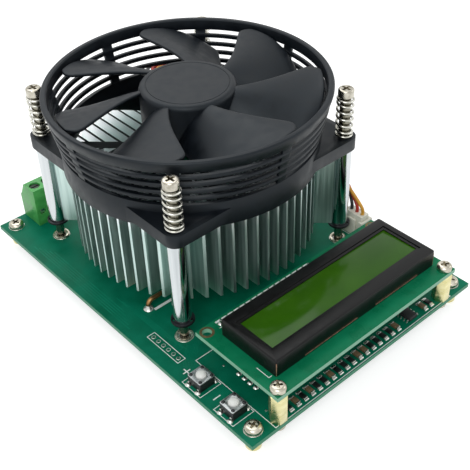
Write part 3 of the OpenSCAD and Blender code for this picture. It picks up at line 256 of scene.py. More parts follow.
def bar(x0, y0, x1, y1, z, width, thick):
    """A flat strip from one point of a board to another, in millimetres."""
    run = Vector((x1 - x0, y1 - y0))
    return block(((x0 + x1) / 2 * MM, (y0 + y1) / 2 * MM, (z + thick / 2) * MM),
                 ((run.length + width) * MM, width * MM, thick * MM), math.atan2(run.y, run.x))


def outline(x0, y0, x1, y1, z, width, thick):
    """Four strips round a rectangle."""
    return [bar(x0, y0, x1, y0, z, width, thick), bar(x1, y0 + width, x1, y1 - width, z, width, thick),
            bar(x1, y1, x0, y1, z, width, thick), bar(x0, y1 - width, x0, y0 + width, z, width, thick)]


def turned(name, profile, steps):
    """A turned piece: a profile of radius and height, in millimetres, spun once round the Z axis."""
    mesh = bpy.data.meshes.new(name)
    points = [(r * MM, 0, z * MM) for r, z in profile]
    mesh.from_pydata(points, [(i, i + 1) for i in range(len(points) - 1)], [])
    piece = bpy.data.objects.new(name, mesh)
    scene.collection.objects.link(piece)
    only(piece)
    spin = piece.modifiers.new("spin", "SCREW")
    spin.steps = steps
    spin.render_steps = steps
    bpy.ops.object.modifier_apply(modifier=spin.name)
    bpy.ops.object.mode_set(mode="EDIT")
    bpy.ops.mesh.select_all(action="SELECT")
    bpy.ops.mesh.remove_doubles(threshold=1e-7)
    bpy.ops.mesh.normals_make_consistent(inside=False)
    bpy.ops.object.mode_set(mode="OBJECT")
    return piece


def ring(inner, outer, thick, steps=28):
    """A flat ring to lie on a board, drawn in a little at its upper edge."""
    profile = [(inner, 0), (outer, 0), (outer - 0.05, thick), (inner, thick), (inner, 0)]
    return turned("ring", profile, steps)


def copies(name, model, points, z):
    """Copies of one model at several points of one height, each with its own mesh, joined to one piece."""
    made = []
    for x, y in points:
        piece = bpy.data.objects.new(name, model.data.copy())
        piece.data.transform(Matrix.Translation((x * MM, y * MM, z * MM)))
        scene.collection.objects.link(piece)
        made.append(piece)
    bpy.data.objects.remove(model)
    return together(name, made)


def heights(node):
    """The lowest and the highest point of a solid, in millimetres."""
    low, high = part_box(node)
    return low.z / MM, high.z / MM


board_under, board_top = heights("main_board")
cooler_y = 13.4
pin_pitch = 2.54
chip_pitch = 3.025
posts = [(x, cooler_y + y) for x in (-36, 36) for y in (-36, 36)]
corners = [(x, y) for x in (-45.5, 45.5) for y in (-65.5, 65.5)]
buttons = [(-44.9, -56.5), (-44.9, -41.8)]
spare_pads = [(-43.7, -29.1 + pin_pitch * i) for i in range(6)]
four_pads = [(-34.2, -54.5 + pin_pitch * i) for i in range(4)]
display_pins = [(-32 + pin_pitch * i, -36.5) for i in range(16)]
chips = [(-32.5 + chip_pitch * i, -66.4) for i in range(17)]

resist = made_of("board_resist", "#03654a", "#07765a", 130, (0.3, 0.46), bump=0.02, level=0.1)
weave = resist.node_tree.nodes.new("ShaderNodeTexBrick")
weave.inputs["Scale"].default_value = 900
weave.inputs["Color1"].default_value = (1, 1, 1, 1)
weave.inputs["Color2"].default_value = (0.88, 0.9, 0.9, 1)
weave.inputs["Mortar"].default_value = (0.84, 0.86, 0.86, 1)
through = second_colour(resist, "MULTIPLY")
through.inputs["Factor"].default_value = 0.5
link(resist.node_tree, resist.node_tree.nodes["Mapping"], "Vector", weave, "Vector")
link(resist.node_tree, weave, "Color", through, "B")
banded(resist, "#4f9476", board_under, board_top)
coat("main_board", resist)

resist_lane = made_of("resist_over_copper", "#056f53", "#0a7d60", 200, (0.28, 0.4), bump=0.02, level=0.12)
white_ink = made_of("white_ink", "#dde7e2", "#f5f9f7", 900, (0.5, 0.7), bump=0.02)
tin = made_of("tinned_pads", "#b3b5b0", "#dedfd9", 600, (0.18, 0.4), metal=1.0, bump=0.02)

lanes = []


def lane(x0, y0, x1, y1, width):
    """A copper track under the resist, each a hair thicker than the last, so that no faces coincide."""
    lanes.append(bar(x0, y0, x1, y1, board_top, width, 0.012 + 0.0002 * len(lanes)))


# From the buttons back along the left edge, then from the spare pads
for i in range(9):
    x, bend = -41.2 - 0.465 * i, 5.5 + 0.21 * i
    lane(x, -62.5 + 0.6 * i, x, -34.5 + 0.19 * i, 0.24)
    lane(x, -34.5 + 0.19 * i, x + bend, -29 + 0.4 * i, 0.24)
    lane(x + bend, -29 + 0.4 * i, -29 + 0.8 * i, -29 + 0.4 * i, 0.24)
for i, (x, y) in enumerate(spare_pads):
    bend = -39.5 - 0.4 * i
    lane(x, y, bend, y, 0.32)
    lane(bend, y, bend, -8 + 3 * i, 0.32)
for i in range(5):
    lane(-47.2 + 0.9 * i, -8 + 2 * i, -47.2 + 0.9 * i, 50 - 2 * i, 0.5)
# From the display's pins and from the chips, then along the right edge
for i, (x, y) in enumerate(display_pins):
    lane(x, y + 1.1, x, -33 + 0.35 * (i % 5), 0.3)
for i, (x, y) in enumerate(chips):
    lane(x, y + 2, x + (i % 3 - 1) * 0.9, -61 + (i % 4) * 0.7, 0.3)
for i in range(7):
    lane(47.5 - 0.8 * i, -58 + i, 47.5 - 0.8 * i, -30 - i, 0.35)
    lane(46 - 0.9 * i, -14 + i, 46 - 0.9 * i, 50 - i, 0.45)
dress(together("board_lanes", lanes), "board", "board_green", resist_lane)

ink_thick = 0.04
ink_line = 0.22
sign_line = 0.4
# Frames round the spare pads, the fan connector, the power inlet, the buttons and the display
ink = []
for x0, y0, x1, y1 in ((-45.2, -30.6, -42.2, -14.9), (40.7, -29.3, 47.3, -18.7), (31.2, 55.4, 40.8, 69.6)):
    ink += outline(x0, y0, x1, y1, board_top, ink_line, ink_thick)
for x, y in buttons:
    ink += outline(x - 4.2, y - 4.3, x + 4, y + 4.3, board_top, ink_line, ink_thick)
ink += outline(-40.4, -69.6, 40.4, -33.6, board_top, 0.24, ink_thick)
# The mark before the bridge, the plus and minus signs and the capacitor's ring
ink.append(bar(-35, -6.4, -25, -6.4, board_top, 1.1, ink_thick))
ink.append(bar(-46.6, -35.2, -44.2, -35.2, board_top, sign_line, ink_thick))
ink.append(bar(-45.4, -36.4, -45.4, -34, board_top, sign_line, ink_thick + 0.005))
ink.append(bar(-46.6, -49.4, -44.2, -49.4, board_top, sign_line, ink_thick))
ink.append(copies("capacitor_ring", ring(4.35, 4.6, ink_thick), [(4, 62.5)], board_top))
dress(together("board_print", ink), "board", "cap_white", white_ink)

pad_thick = 0.05
lower_thick = 0.035
solder_dome = turned("solder_dome", [(0, 0.5), (0.3, 0.45), (0.6, 0.25), (0.85, 0), (0, 0)], 20)
# A fixed scatter of small plated holes over the strip under the display
vias = [(-38 + 76 * ((i * 0.618034) % 1), -63 + 27 * ((i * 0.754878) % 1)) for i in range(30)]
pads = [copies("post_pads", ring(1.66, 3.15, pad_thick), posts, board_top),
        copies("corner_pads", ring(2.02, 2.95, pad_thick), corners, board_top),
        copies("six_pads", ring(0.5, 0.78, pad_thick), spare_pads, board_top),
        copies("four_pads", solder_dome, four_pads, board_top),
        copies("lower_pads", ring(1.66, 3.9, lower_thick), posts, board_under - lower_thick),
        copies("vias", ring(0.16, 0.38, 0.055, 14), vias, board_top)]
dress(together("board_pads", pads), "board", "tinned_metal", tin)


# Feet and screws: round brass feet turned from bar, and nickel-plated pan head screws that
# pass down through the board into them. Screws of the same kind hold the display.
def rounded(piece, width, segments, angle):
    """Rounds off the edges of the active piece that are sharper than an angle in degrees."""
    edges = piece.modifiers.new("edges", "BEVEL")
    edges.width = width * MM
    edges.segments = segments
    edges.limit_method = "ANGLE"
    edges.angle_limit = math.radians(angle)
    bpy.ops.object.modifier_apply(modifier=edges.name)


def softened(node, body, slot, material, edge):
    """The solid itself with its sharp edges broken, as tooling leaves them."""
    piece = bpy.data.objects.new(node + "_finish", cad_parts[node].data.copy())
    scene.collection.objects.link(piece)
    only(piece)
    bpy.ops.object.mode_set(mode="EDIT")
    bpy.ops.mesh.select_all(action="SELECT")
    bpy.ops.mesh.remove_doubles(threshold=2e-6)
    bpy.ops.mesh.dissolve_limited(angle_limit=math.radians(1))
    bpy.ops.object.mode_set(mode="OBJECT")
    if edge:
        rounded(piece, edge, 2, 38)
    return dress(piece, body, slot, material, node)


def pick(piece, kind, wanted):
    """Selects the edges or faces of a piece for which wanted holds, and enters edit mode."""
    bpy.ops.object.mode_set(mode="EDIT")
    bpy.ops.mesh.select_mode(type=kind)
    bpy.ops.mesh.select_all(action="DESELECT")
    bpy.ops.object.mode_set(mode="OBJECT")
    for part in piece.data.edges if kind == "EDGE" else piece.data.polygons:
        part.select = wanted(part)
    bpy.ops.object.mode_set(mode="EDIT")


def cut_cross(screw, z, length, width, depth):
    """Sinks a tapered cross recess into the top of a screw head."""
    over = 0.5
    for angle in (0, 90):
        cutter = block((0, 0, (z - depth / 2 + over / 2) * MM),
                       (length * MM, width * MM, (depth + over) * MM), math.radians(angle))
        pick(cutter, "FACE", lambda face: face.normal.z < -0.9)
        bpy.ops.transform.resize(value=(0.55, 0.7, 1))
        bpy.ops.object.mode_set(mode="OBJECT")
        recess = screw.modifiers.new("recess", "BOOLEAN")
        recess.operation = "DIFFERENCE"
        recess.object = cutter
        only(screw)
        bpy.ops.object.modifier_apply(modifier=recess.name)
        bpy.data.objects.remove(cutter)


def quarter(r, z, across, up, step):
    """A quarter of an oval about a centre, from its widest point to its top, for a turned profile."""
    turns = [math.radians(a) for a in range(0, 91, step)]
    return [(r + across * math.cos(a), z + up * math.sin(a)) for a in turns]


def pan_screw(head, height, shank, length, turn):
    """One pan head screw, its head above the origin."""
    profile = [(0, -length), (shank / 2 - 0.25, -length), (shank / 2, -length + 0.25), (shank / 2, 0),
               (head / 2 - 0.12, 0), (head / 2, 0.15)]
    profile += quarter(head / 4, height * 0.42, head / 4, height * 0.58, 10)
    screw = turned("pan_screw", profile + [(0, height)], 44)
    cut_cross(screw, height, head * 0.6, shank * 0.3, height * 0.62)
    screw.data.transform(Matrix.Rotation(math.radians(turn), 4, "Z"))
    return screw


brass = made_of("turned_brass", "#cbc38c", "#e6dfb0", 250, (0.22, 0.36), metal=1.0, bump=0.015,
                stretch=(1, 1, 3))
nickel = made_of("nickel_plate", "#a7a291", "#d6d1c2", 500, (0.16, 0.36), metal=1.0, bump=0.03)
softened("board_feet", "board", "brass", brass, 0.2)
board_screws = copies("board_screw_set", pan_screw(5.5, 2, 3, 3.2, 20), corners, board_top)
dress(board_screws, "board", "nickel_steel", nickel, "board_screws")

lcd_under, lcd_top = heights("lcd_board")
standoffs = [(-37.5, -67.5), (37.5, -67.5)]
display_screws = copies("display_screw_set", pan_screw(5, 2, 3, 4, 55), standoffs, lcd_top)
dress(display_screws, "board", "nickel_steel", nickel, "lcd_screws")
from_below = pan_screw(5, 2, 3, 4, 10)
from_below.data.transform(Matrix.Rotation(math.pi, 4, "X"))
standoff_screws = copies("standoff_screw_set", from_below, standoffs, board_under)
dress(standoff_screws, "board", "nickel_steel", nickel, "standoff_screws")
softened("lcd_standoffs", "board", "brass", brass, 0.3)


# Display: a bright green board on the standoffs, a black painted sheet steel bezel folded over the
# glass, and the glass itself, a dark yellow-green two-line panel over its light guide.
display_resist = made_of("display_resist", "#066c47", "#0b7c55", 160, (0.22, 0.38), bump=0.02, level=0.12)
banded(display_resist, "#8fc4a8", lcd_under, lcd_top)
coat("lcd_board", display_resist)
display_ink = 0.03
ink = [bar(-36.4, -57.5, -36.4, -62.6, lcd_top, 0.24, display_ink),
       bar(-36.4, -62.6, -35.4, -62.6, lcd_top, 0.24, display_ink + 0.005),
       bar(-33.4, -37.8, 7.6, -37.8, lcd_top, 0.22, display_ink)]
ink += [bar(x - 0.65, y + 1.3, x + 0.65, y + 1.3, lcd_top, 0.7, display_ink) for x, y in display_pins]
dress(together("display_print", ink), "board", "cap_white", white_ink)

pad_tan = made_of("bare_pad_tan", "#5d5138", "#7d6c4a", 500, (0.35, 0.55), metal=0.7, bump=0.02)
display_holes = [(x, y) for x in (-37.5, 37.5) for y in (-67.5, -36.5)]
hole_rings = copies("display_hole_rings", ring(1.56, 2.35, 0.035), display_holes, lcd_top)
dress(hole_rings, "board", "brass", pad_tan)
pin_cone = turned("solder_cone", [(0.36, 0.75), (0.42, 0.6), (0.55, 0.3), (0.85, 0.06), (0.9, 0), (0.36, 0),
                                  (0.36, 0.75)], 20)
dress(copies("header_solder", pin_cone, display_pins, lcd_top), "board", "tinned_metal", tin)


def thickened(piece, thick, offset):
    """Gives the active piece, an open sheet, its wall."""
    wall = piece.modifiers.new("wall", "SOLIDIFY")
    wall.thickness = thick * MM
    wall.offset = offset
    bpy.ops.object.modifier_apply(modifier=wall.name)


# The bezel's folds, the step pressed into its top and the window in that, in millimetres
fold_r = 0.6
step_x, step_y, step_deep = 66.4, 15.8, 0.45
window_x, window_y, window_deep = 64.4, 13.8, 0.31
bezel_paint = made_of("black_enamel", "#060707", "#0c0d0e", 420, (0.3, 0.46), bump=0.03, level=0.24)
bezel_low, bezel_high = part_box("lcd_bezel")
flat = (bezel_high - bezel_low) / MM - Vector((2 * fold_r, 2 * fold_r, 0))
bezel = block((bezel_low + bezel_high) / 2, bezel_high - bezel_low)
bezel.name = "display_bezel"


def touches_top(edge):
    """True for the bezel's upper edges and for the upright ones that end there."""
    return max(bezel.data.vertices[i].co.z for i in edge.vertices) > bezel_high.z - 1e-6


pick(bezel, "FACE", lambda face: face.normal.z < -0.9)
bpy.ops.mesh.delete(type="FACE")
bpy.ops.object.mode_set(mode="OBJECT")
pick(bezel, "EDGE", touches_top)
bpy.ops.mesh.bevel(offset=fold_r * MM, segments=4, affect="EDGES")
bpy.ops.object.mode_set(mode="OBJECT")
pick(bezel, "FACE", lambda face: face.normal.z > 0.99 and face.area > 1e-4)
bpy.ops.mesh.inset(thickness=0)
bpy.ops.transform.resize(value=(step_x / flat.x, step_y / flat.y, 1))
bpy.ops.mesh.extrude_region_move(TRANSFORM_OT_translate={"value": (0, 0, -step_deep * MM)})
bpy.ops.mesh.inset(thickness=0)
bpy.ops.transform.resize(value=(window_x / step_x, window_y / step_y, 1))
bpy.ops.mesh.extrude_region_move(TRANSFORM_OT_translate={"value": (0, 0, -window_deep * MM)})
bpy.ops.mesh.delete(type="FACE")
bpy.ops.object.mode_set(mode="OBJECT")
thickened(bezel, 0.4, -1)
rounded(bezel, 0.1, 2, 22)
dress(bezel, "board", "bezel_black", bezel_paint, "lcd_bezel")

# The paint has worn off along the sheet's lower edge and at its two front corners
bare_steel = made_of("bare_sheet_edge", "#a07a66", "#c8a08a", 700, (0.3, 0.5), metal=0.7, bump=0.03)
edges = [bar(x0, -63.95, x1, -63.95, lcd_top + 0.5, 0.12, 0.3) for x0, x1 in ((-23, -0.5), (8, 28))]
edges += [bar(x0, -63.72, x1, -63.82, lcd_top + 0.3, 0.14, 4.9)
          for x0, x1 in ((-34.62, -34.52), (36.02, 35.92))]
dress(together("bezel_bare_edges", edges), "board", "nickel_steel", bare_steel)

panel = made_of("panel_glass", "#2a560a", "#386612", 60, (0.1, 0.18), level=0.16)
panel.node_tree.nodes["Principled BSDF"].inputs["Coat Weight"].default_value = 0.03
panel.node_tree.nodes["Principled BSDF"].inputs["Coat Roughness"].default_value = 0.04
softened("lcd_glass", "board", "display_glass", panel, 0.15)
softened("lcd_backlight", "board", "light_guide",
         made_of("light_guide", "#c9d38c", "#dfe6ae", 200, (0.3, 0.45)), 0.15)
softened("lcd_contact_strips", "board", "contact_rubber",
         made_of("contact_rubber", "#b9837b", "#d39c92", 500, (0.6, 0.8)), 0.1)
softened("lcd_chip_blobs", "board", "resin_black",
         made_of("drop_resin", "#0c0c0d", "#191a1b", 300, (0.2, 0.35)), 0)

black_plastic = made_of("black_moulding", "#101113", "#1b1c1f", 450, (0.35, 0.5), bump=0.04)
softened("header_socket", "board", "black_plastic", black_plastic, 0.15)
softened("header_strip", "board", "black_plastic", black_plastic, 0.15)
softened("header_pins", "board", "tinned_metal", tin, 0.08)


# Heatsink: extruded bright aluminium, an X core with four quarters of parallel fins, clamped on
# the power transistors through an insulating pad. The fins' colour is tinted teal as painted reflection of
# the green board, and turns near white in their top five millimetres as a painted highlight.
sink_top = heights("heatsink")[1]
# Painted reflection: the teal tint of these two colours stands in for the green board reflected in the fins.
fin_metal = made_of("drawn_aluminium", "#a6bfba", "#d6e8e3", 900, (0.36, 0.5), metal=1.0, bump=0.02,
                    stretch=(1, 1, 0.03))
# Painted highlight: near-white colour mixed in from 40 to 45 mm height, for the light that falls between the
# blades onto the fins' upper ends.
painted_highlight_rise = fin_metal.node_tree.nodes.new("ShaderNodeMapRange")
painted_highlight_rise.inputs["From Min"].default_value = 40 * MM
painted_highlight_rise.inputs["From Max"].default_value = 45 * MM
painted_top_highlight = second_colour(fin_metal)
painted_top_highlight.inputs["B"].default_value = paint("#f0f3f5")
link(fin_metal.node_tree, height_on(fin_metal.node_tree), "Z", painted_highlight_rise, "Value")
link(fin_metal.node_tree, painted_highlight_rise, "Result", painted_top_highlight, "Factor")
# Painted shade: the fins' sawn top faces, within 0.1 mm of the top, are painted dark grey, standing in for
# the blades' shade on them.
banded(fin_metal, "#4e5455", sink_top - 0.1, sink_top + 0.1)
coat("heatsink", fin_metal)
softened("thermal_pad", "board", "pad_grey", made_of("pad_grey", "#8e979f", "#a9b2b9", 400, (0.7, 0.85)), 0.1)
softened("power_transistors", "board", "chip_black",
         made_of("moulded_epoxy", "#151617", "#242628", 700, (0.5, 0.65), bump=0.05), 0.2)
softened("transistor_legs", "board", "tinned_metal", tin, 0.06)

# The bridge of resistance wire beside the front sleeve, in its two cones of solder
bridge_metal = made_of("bridge_wire", "#84603c", "#ac8458", 500, (0.3, 0.5), metal=1.0, bump=0.03)
softened("shunt_wire", "board", "resistance_wire", bridge_metal, 0)
bridge_cone = turned("bridge_cone", [(0.78, 1.5), (0.95, 1.2), (1.15, 0.7), (1.6, 0.15), (1.75, 0), (0.78, 0),
                                     (0.78, 1.5)], 28)
bridge_ends = [(-36.7, -4.6), (-21.7, -4.6)]
dress(copies("bridge_solder", bridge_cone, bridge_ends, board_top), "board", "tinned_metal", tin)


# Fan frame: one black moulding of skirt, corner plates and a slotted flared ring, with four struts
# that carry the motor. The rotor is a second moulding with seven swept blades.
fan_plastic = made_of("fan_moulding", "#090d12", "#10151b", 300, (0.36, 0.5), bump=0.03, level=0.29)
fan_plastic.node_tree.nodes["Principled BSDF"].inputs["Specular Tint"].default_value = (0.86, 0.95, 1, 1)
softened("fan_frame", "board", "fan_black", fan_plastic, 0.14)
softened("fan_bearing", "board", "bearing_bronze",
         made_of("sintered_bronze", "#8a6a3c", "#a8854f", 500, (0.4, 0.55), metal=1.0), 0.1)
softened("fan_stator", "board", "core_steel",
         made_of("core_sheets", "#6f7276", "#8f9296", 1500, (0.35, 0.5), metal=1.0,
                 stretch=(0.05, 0.05, 1)), 0.06)
softened("fan_coils", "board", "winding_copper",
         made_of("winding", "#8c4a1e", "#c06a30", 1500, (0.25, 0.4), metal=0.9, bump=0.08,
                 stretch=(0.1, 0.1, 1)), 0.3)
softened("fan_driver_board", "board", "board_green", resist, 0.06)

# Heights of the rotor, in millimetres over the heatsink, and the radii of ring, hub and blades
hub_top = 24.1
hub_bottom = 7.1
blade_top = 23.0
skirt_out = 43.6
flare = 3.6
flare_foot = 7.3
flare_tall = 17.4
ring_wall = 1.4
tip_gap = 1.2
hub_r = 16
hub_edge = 1.7
hub_bore = 14.6
blade_root = 15.3
blade_count = 7


def ring_out(z):
    """The flared ring's outer radius at a height over the heatsink."""
    return skirt_out + flare * (z - flare_foot) / flare_tall


def blade_point(u, s):
    """A point of the blade sheet: u from hub to tip, s from leading to trailing edge."""
    z = blade_top - (13 - 5 * u) * s * s
    tip = ring_out(z) - ring_wall - tip_gap
    r = blade_root + (tip - blade_root) * u
    late = max(0, (u - 0.85) / 0.15) ** 2
    lead = -22 * (1 - u) ** 1.6 - 5 * late
    trail = lead - 44 + 4 * u + 10 * late
    a = math.radians(-26.6 + lead * (1 - s) + trail * s)
    return Vector((r * math.cos(a), r * math.sin(a), z)) * MM


bpy.ops.object.select_all(action="DESELECT")
bpy.ops.mesh.primitive_grid_add(x_subdivisions=26, y_subdivisions=22, size=1)
blade = bpy.context.active_object
for v in blade.data.vertices:
    v.co = blade_point(v.co.x + 0.5, v.co.y + 0.5)
bpy.ops.object.mode_set(mode="EDIT")
bpy.ops.mesh.select_all(action="SELECT")
bpy.ops.mesh.normals_make_consistent(inside=False)
bpy.ops.object.mode_set(mode="OBJECT")
thickened(blade, 1.15, 0)
rounded(blade, 0.4, 3, 50)
blades = []
for k in range(blade_count):
    one = bpy.data.objects.new("blade", blade.data.copy())
    one.data.transform(Matrix.Rotation(math.radians(k * 360 / blade_count), 4, "Z"))
    scene.collection.objects.link(one)
    blades.append(one)
bpy.data.objects.remove(blade)

# The hub's wall, its rounded edge with a fine groove inside it, and the boss that holds the shaft
outside = [(hub_bore, hub_bottom), (hub_r - 0.2, hub_bottom), (hub_r, hub_bottom + 0.2)]
outside += quarter(hub_r - hub_edge, hub_top - hub_edge, hub_edge, hub_edge, 10)
groove = [(13.75, hub_top), (13.68, hub_top - 0.12), (13.5, hub_top - 0.12), (13.43, hub_top), (0, hub_top)]
inside = [(0, hub_top - 0.8), (1.55, hub_top - 0.8), (1.55, hub_top - 4.2), (3.2, hub_top - 4.2),
          (3.2, hub_top - 1.6), (hub_bore, hub_top - 1.6), (hub_bore, hub_bottom)]
hub = turned("hub", outside + groove + inside, 96)
rotor = together("rotor_moulding", blades + [hub])
rotor.data.transform(Matrix.Translation((0, cooler_y * MM, sink_top * MM)))
dress(rotor, "fan_rotor", "fan_black", fan_plastic, "fan_rotor")
softened("rotor_yoke", "fan_rotor", "core_steel",
         made_of("yoke_steel", "#6d7074", "#8a8d91", 600, (0.35, 0.5), metal=1.0), 0.06)
softened("rotor_magnet", "fan_rotor", "magnet_black",
         made_of("bonded_magnet", "#2b2b2d", "#3d3d40", 600, (0.6, 0.75)), 0.06)
softened("rotor_shaft", "fan_rotor", "nickel_steel", nickel, 0.15)


# Cooler screws: four long shoulder screws in polished sleeves. Each spring pushes between the
# screw's head and the frame's corner, and a black open clip holds the sleeve's foot.
polish = made_of("polished_sleeve", "#aeb4b7", "#dbdfe0", 260, (0.07, 0.16), metal=1.0, stretch=(1, 1, 0.05))
sleeve_foot, sleeve_top = heights("cooler_sleeves")
tall = sleeve_top - sleeve_foot
sleeve = turned("sleeve", [(2, 0), (2.7, 0), (3, 0.25), (3, tall - 0.25), (2.7, tall), (2, tall), (2, 0)], 64)
dress(copies("sleeve_set", sleeve, posts, sleeve_foot), "board", "bright_sleeve", polish, "cooler_sleeves")

head_z = 66
head_tall = 2.8
head_r = 2.65
head_edge = 0.75
profile = [(0, 2.5), (1.2, 2.5), (1.5, 2.8), (1.5, 13.05), (1.85, 13.05), (1.85, 14.25), (1.35, 14.25),
           (1.35, 15.15), (1.85, 15.15), (1.85, head_z), (head_r - 0.15, head_z), (head_r, head_z + 0.15)]
profile += quarter(head_r - head_edge, head_z + head_tall - head_edge, head_edge, head_edge, 15)
screw = turned("cooler_screw", profile + [(0, head_z + head_tall)], 48)
cut_cross(screw, head_z + head_tall, 3.7, 0.95, 1.4)
screw_metal = made_of("plated_screw", "#a09b8d", "#d8d4c8", 450, (0.14, 0.34), metal=1.0, bump=0.03)
# Painted shade: the shank from 2 mm up to the head is painted darker, standing in for the shade inside the
# spring and sleeve.
banded(screw_metal, "#918e82", 2, head_z)
dress(copies("cooler_screw_set", screw, posts, 0), "board", "nickel_steel", screw_metal, "cooler_screws")

coil_r = 2.65
coil_wire = 0.8
coil_turns = 7
coil_steps = 28
corner_top = 51.1
coil_foot = 0.45
shut = 0.864
rise = head_z - corner_top - coil_wire - 2 * shut - 0.1


def coil_height(t):
    """Height of the wire after t turns: both ends lie shut, the turns between them stand open."""
    if t < 1:
        return shut * t
    if t > coil_turns - 1:
        return rise + shut + shut * (t - coil_turns + 1)
    return shut + rise * (t - 1) / (coil_turns - 2)


def wire(name, points, diameter):
    """A round wire through points, in millimetres."""
    curve = bpy.data.curves.new(name, "CURVE")
    curve.dimensions = "3D"
    curve.bevel_depth = diameter / 2 * MM
    curve.bevel_resolution = 5
    curve.use_fill_caps = True
    spline = curve.splines.new("POLY")
    spline.points.add(len(points) - 1)
    for knot, p in zip(spline.points, points):
        knot.co = (p[0] * MM, p[1] * MM, p[2] * MM, 1)
    piece = bpy.data.objects.new(name, curve)
    scene.collection.objects.link(piece)
    only(piece)
    bpy.ops.object.convert(target="MESH")
    return bpy.context.active_object


spring_steel = made_of("spring_wire", "#b0afa5", "#e2e1d9", 500, (0.12, 0.28), metal=1.0, bump=0.02)
helix = []
for k in range(coil_steps * coil_turns + 1):
    t = k / coil_steps
    a = 2 * math.pi * t
    helix.append((coil_r * math.cos(a), -coil_r * math.sin(a), coil_foot + coil_height(t)))
springs = copies("spring_set", wire("spring", helix, coil_wire), posts, corner_top)
dress(springs, "board", "nickel_steel", spring_steel, "cooler_springs")
softened("cooler_clips", "board", "clip_black",
         made_of("blackened_clip", "#15161a", "#26282c", 500, (0.3, 0.45), metal=0.6), 0.12)
softened("cooler_nuts", "board", "nickel_steel", nickel, 0.2)


# Push buttons: a black moulded body, a steel cover riveted over it at four corners, four tinned
# legs soldered into the board and a white domed cap that goes down 0.25 mm.
softened("button_bodies", "board", "black_plastic", black_plastic, 0.12)
cover_steel = made_of("cover_steel", "#8d9192", "#b9bdbd", 700, (0.28, 0.42), metal=0.9, bump=0.02)
softened("button_covers", "board", "cover_steel", cover_steel, 0.05)
softened("button_legs", "board", "tinned_metal", tin, 0.06)
rivet = turned("rivet", [(0, 0.35), (0.3, 0.32), (0.52, 0.2), (0.6, 0), (0, 0)], 20)
rivet_places = [(x + a, y + b) for x, y in buttons for a in (-2.2, 2.2) for b in (-2.2, 2.2)]
dress(copies("button_rivets", rivet, rivet_places, board_top + 3.5), "board", "black_plastic", black_plastic)
cap_white = made_of("white_cap", "#d9dcd8", "#f1f2ee", 300, (0.3, 0.42), bump=0.02)
cap_profile = [(0, 1.3), (1.7, 1.3), (1.7, 2.45), (2.1, 2.45), (2.1, 3.05), (1.7, 3.05)]
cap_profile += quarter(0, 3.7, 1.7, 0.9, 10)
for point, name in zip(buttons, ("button_cap_front", "button_cap_rear")):
    cap = copies(name + "_dome", turned("cap", cap_profile, 36), [point], board_top)
    dress(cap, name, "cap_white", cap_white, name)
leg_cone = turned("leg_solder", [(0.3, 0.5), (0.45, 0.42), (0.62, 0.2), (0.95, 0.03), (1, 0), (0.3, 0),
                                 (0.3, 0.5)], 18)
leg_places = [(x + a, y + b) for x, y in buttons for a in (-3.5, 3.5) for b in (-2.25, 2.25)]
dress(copies("button_solder", leg_cone, leg_places, board_top), "board", "tinned_metal", tin)


# Terminal block: a grass-green moulding with two slotted screws, each lifting a plated cage that
# clamps a wire against its contact.
softened("terminal_housing", "board", "terminal_green",
         made_of("green_moulding", "#3c9647", "#55b45b", 350, (0.34, 0.48), bump=0.04), 0.2)
softened("terminal_contacts", "board", "tinned_metal", tin, 0.05)
# Painted shade: the slotted screws sit deep in the housing's holes and are painted dark green-grey, standing
# in for the shade in those holes.
terminal_screw_painted_shade = made_of("terminal_screw_painted_shade", "#343d36", "#4c574e", 500, (0.4, 0.55), metal=0.8, bump=0.03)
for side in ("left", "right"):
    softened("terminal_screw_" + side, "terminal_screw_" + side, "nickel_steel", terminal_screw_painted_shade, 0.12)
    softened("terminal_cage_" + side, "terminal_cage_" + side, "nickel_steel", nickel, 0.1)


# Fan connector: a cream header and plug, and three thin wires that leave the motor along a strut,
# go round the ring on the frame's corner and drop to the plug.
cream = made_of("cream_nylon", "#cfcfc0", "#e6e5d8", 300, (0.35, 0.5), bump=0.03)
softened("fan_header", "board", "cream_plastic", cream, 0.12)
softened("fan_plug", "board", "cream_plastic", cream, 0.12)
softened("fan_header_pins", "board", "tinned_metal", tin, 0.06)

# Each point of the route is an angle round the fan, a radius, a height over the heatsink, and the
# direction and distance in which the three wires lie beside each other. The radii of the run count
# from the skirt, and its heights below zero are shares of the drop to the plug.
lead_start = [(68, 13, 3.9, -22, 1.5), (68, 20, 3.7, -22, 1.5)]
lead_run = [(68, -13.6, 3.7, -22, 1.5), (68, -5.6, 4.3, -22, 1.5), (68, -2, 5.2, -22, 1.5),
            (68, 1.3, 5.2, -24, 1.5), (67.6, 4.9, 5.2, -46, 1.8), (62.4, 6.1, 5.2, -106, 1.8),
            (54.5, 3, 5.2, -128, 1.5), (45, 2.12, 5.2, -135, 1.36), (35, 2.15, 5.2, -145, 1.36),
            (25, 2.3, 5.2, -155, 1.4), (15, 2.6, 5, -165, 1.5), (6, 3.3, 3.2, -173, 1.5),
            (-6, 3.7, -0.08, -180, 1.5), (-16.6, 5.2, -0.29, -180, 1.5), (-25.4, 7.7, -0.5, -172, 1.6),
            (-31.8, 10.5, -0.67, -145, 2), (-36.9, 12.7, -0.82, -110, 2.3)]
lead_drop = 30.7
lead_d = 1.2
plug_pitch = 2.5
plug = Vector((43.975, cooler_y - 36 - 1.4, 15.9))
wire_skins = [made_of("wire_black", "#141415", "#222224", 500, (0.4, 0.55)),
              made_of("wire_red", "#a01d12", "#c4301f", 500, (0.4, 0.55)),
              made_of("wire_yellow", "#c98a1c", "#e0a83a", 500, (0.4, 0.55))]


def bent(p, k, s):
    """A point between knots k and k + 1 of a smooth curve through all of them."""
    a, b, c, d = p[max(k - 1, 0)], p[k], p[k + 1], p[min(k + 2, len(p) - 1)]
    return 0.5 * (2 * b + (c - a) * s + (2 * a - 5 * b + 4 * c - d) * s ** 2
                  + (3 * b - a - 3 * c + d) * s ** 3)


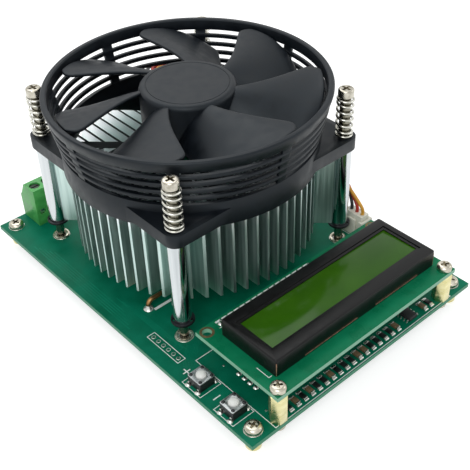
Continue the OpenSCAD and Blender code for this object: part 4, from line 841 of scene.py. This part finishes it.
route = lead_start + [(a, skirt_out + r, z * lead_drop if z < 0 else z, d, g) for a, r, z, d, g in lead_run]
for i, name in zip((-1, 0, 1), ("black", "red", "yellow")):
    knots = []
    for a, r, z, d, g in route:
        a, d = math.radians(a), math.radians(d)
        x = r * math.cos(a) + i * g * math.cos(d)
        y = cooler_y + r * math.sin(a) + i * g * math.sin(d)
        knots.append(Vector((x, y, sink_top + z)))
    foot = plug - Vector((0, i * plug_pitch, 0))
    knots += [foot + Vector((0, 0, 2.2)), foot - Vector((0, 0, 0.9))]
    points = [bent(knots, k, s / 6) for k in range(len(knots) - 1) for s in range(6)]
    lead = wire("lead_" + name, points + [knots[-1]], lead_d)
    dress(lead, "board", "wire_skin", wire_skins[i + 1], "fan_lead")


# Small parts: chip resistors and capacitors in a row under the display, an eight-leg amplifier
# and the controller, all lying on tinned pads in small fillets of solder.
softened("chip_resistors", "board", "chip_black",
         made_of("resistor_glaze", "#121314", "#1e2022", 500, (0.25, 0.4)), 0.08)
softened("chip_capacitors", "board", "capacitor_tan",
         made_of("capacitor_tan", "#62503a", "#7d684c", 500, (0.45, 0.6)), 0.1)
softened("chip_ends", "board", "tinned_metal", tin, 0.1)
package = made_of("chip_epoxy", "#141516", "#202224", 800, (0.5, 0.65), bump=0.05)
softened("amplifier_chip", "board", "chip_black", package, 0.1)
softened("controller_chip", "board", "chip_black", package, 0.1)
softened("chip_legs", "board", "tinned_metal", tin, 0.05)

fillet_tall = 0.34
fillet = block((0, 0, 0), (1.8 * MM, 1.1 * MM, fillet_tall * MM))
pick(fillet, "FACE", lambda face: face.normal.z > 0.9)
bpy.ops.transform.resize(value=(0.82, 0.35, 1))
bpy.ops.object.mode_set(mode="OBJECT")
rounded(fillet, 0.12, 2, 30)
soldered = chips + [(29.5, -66.4), (32.5, -66.4)]
fillet_places = [(x, y + side) for x, y in soldered for side in (-1.75, 1.75)]
chip_solder = copies("chip_solder", fillet, fillet_places, board_top + fillet_tall / 2)
dress(chip_solder, "board", "tinned_metal", tin)


# Supply corner: a black barrel inlet with its contacts, a tab regulator and an electrolytic
# capacitor in its shrunk sleeve, along the back edge.
softened("power_inlet", "board", "black_plastic", black_plastic, 0.2)
softened("inlet_contacts", "board", "tinned_metal", tin, 0.08)
softened("voltage_regulator", "board", "chip_black", package, 0.1)
softened("supply_capacitor", "board", "can_sleeve",
         made_of("can_sleeve", "#15171c", "#22252c", 300, (0.3, 0.42)), 0.1)
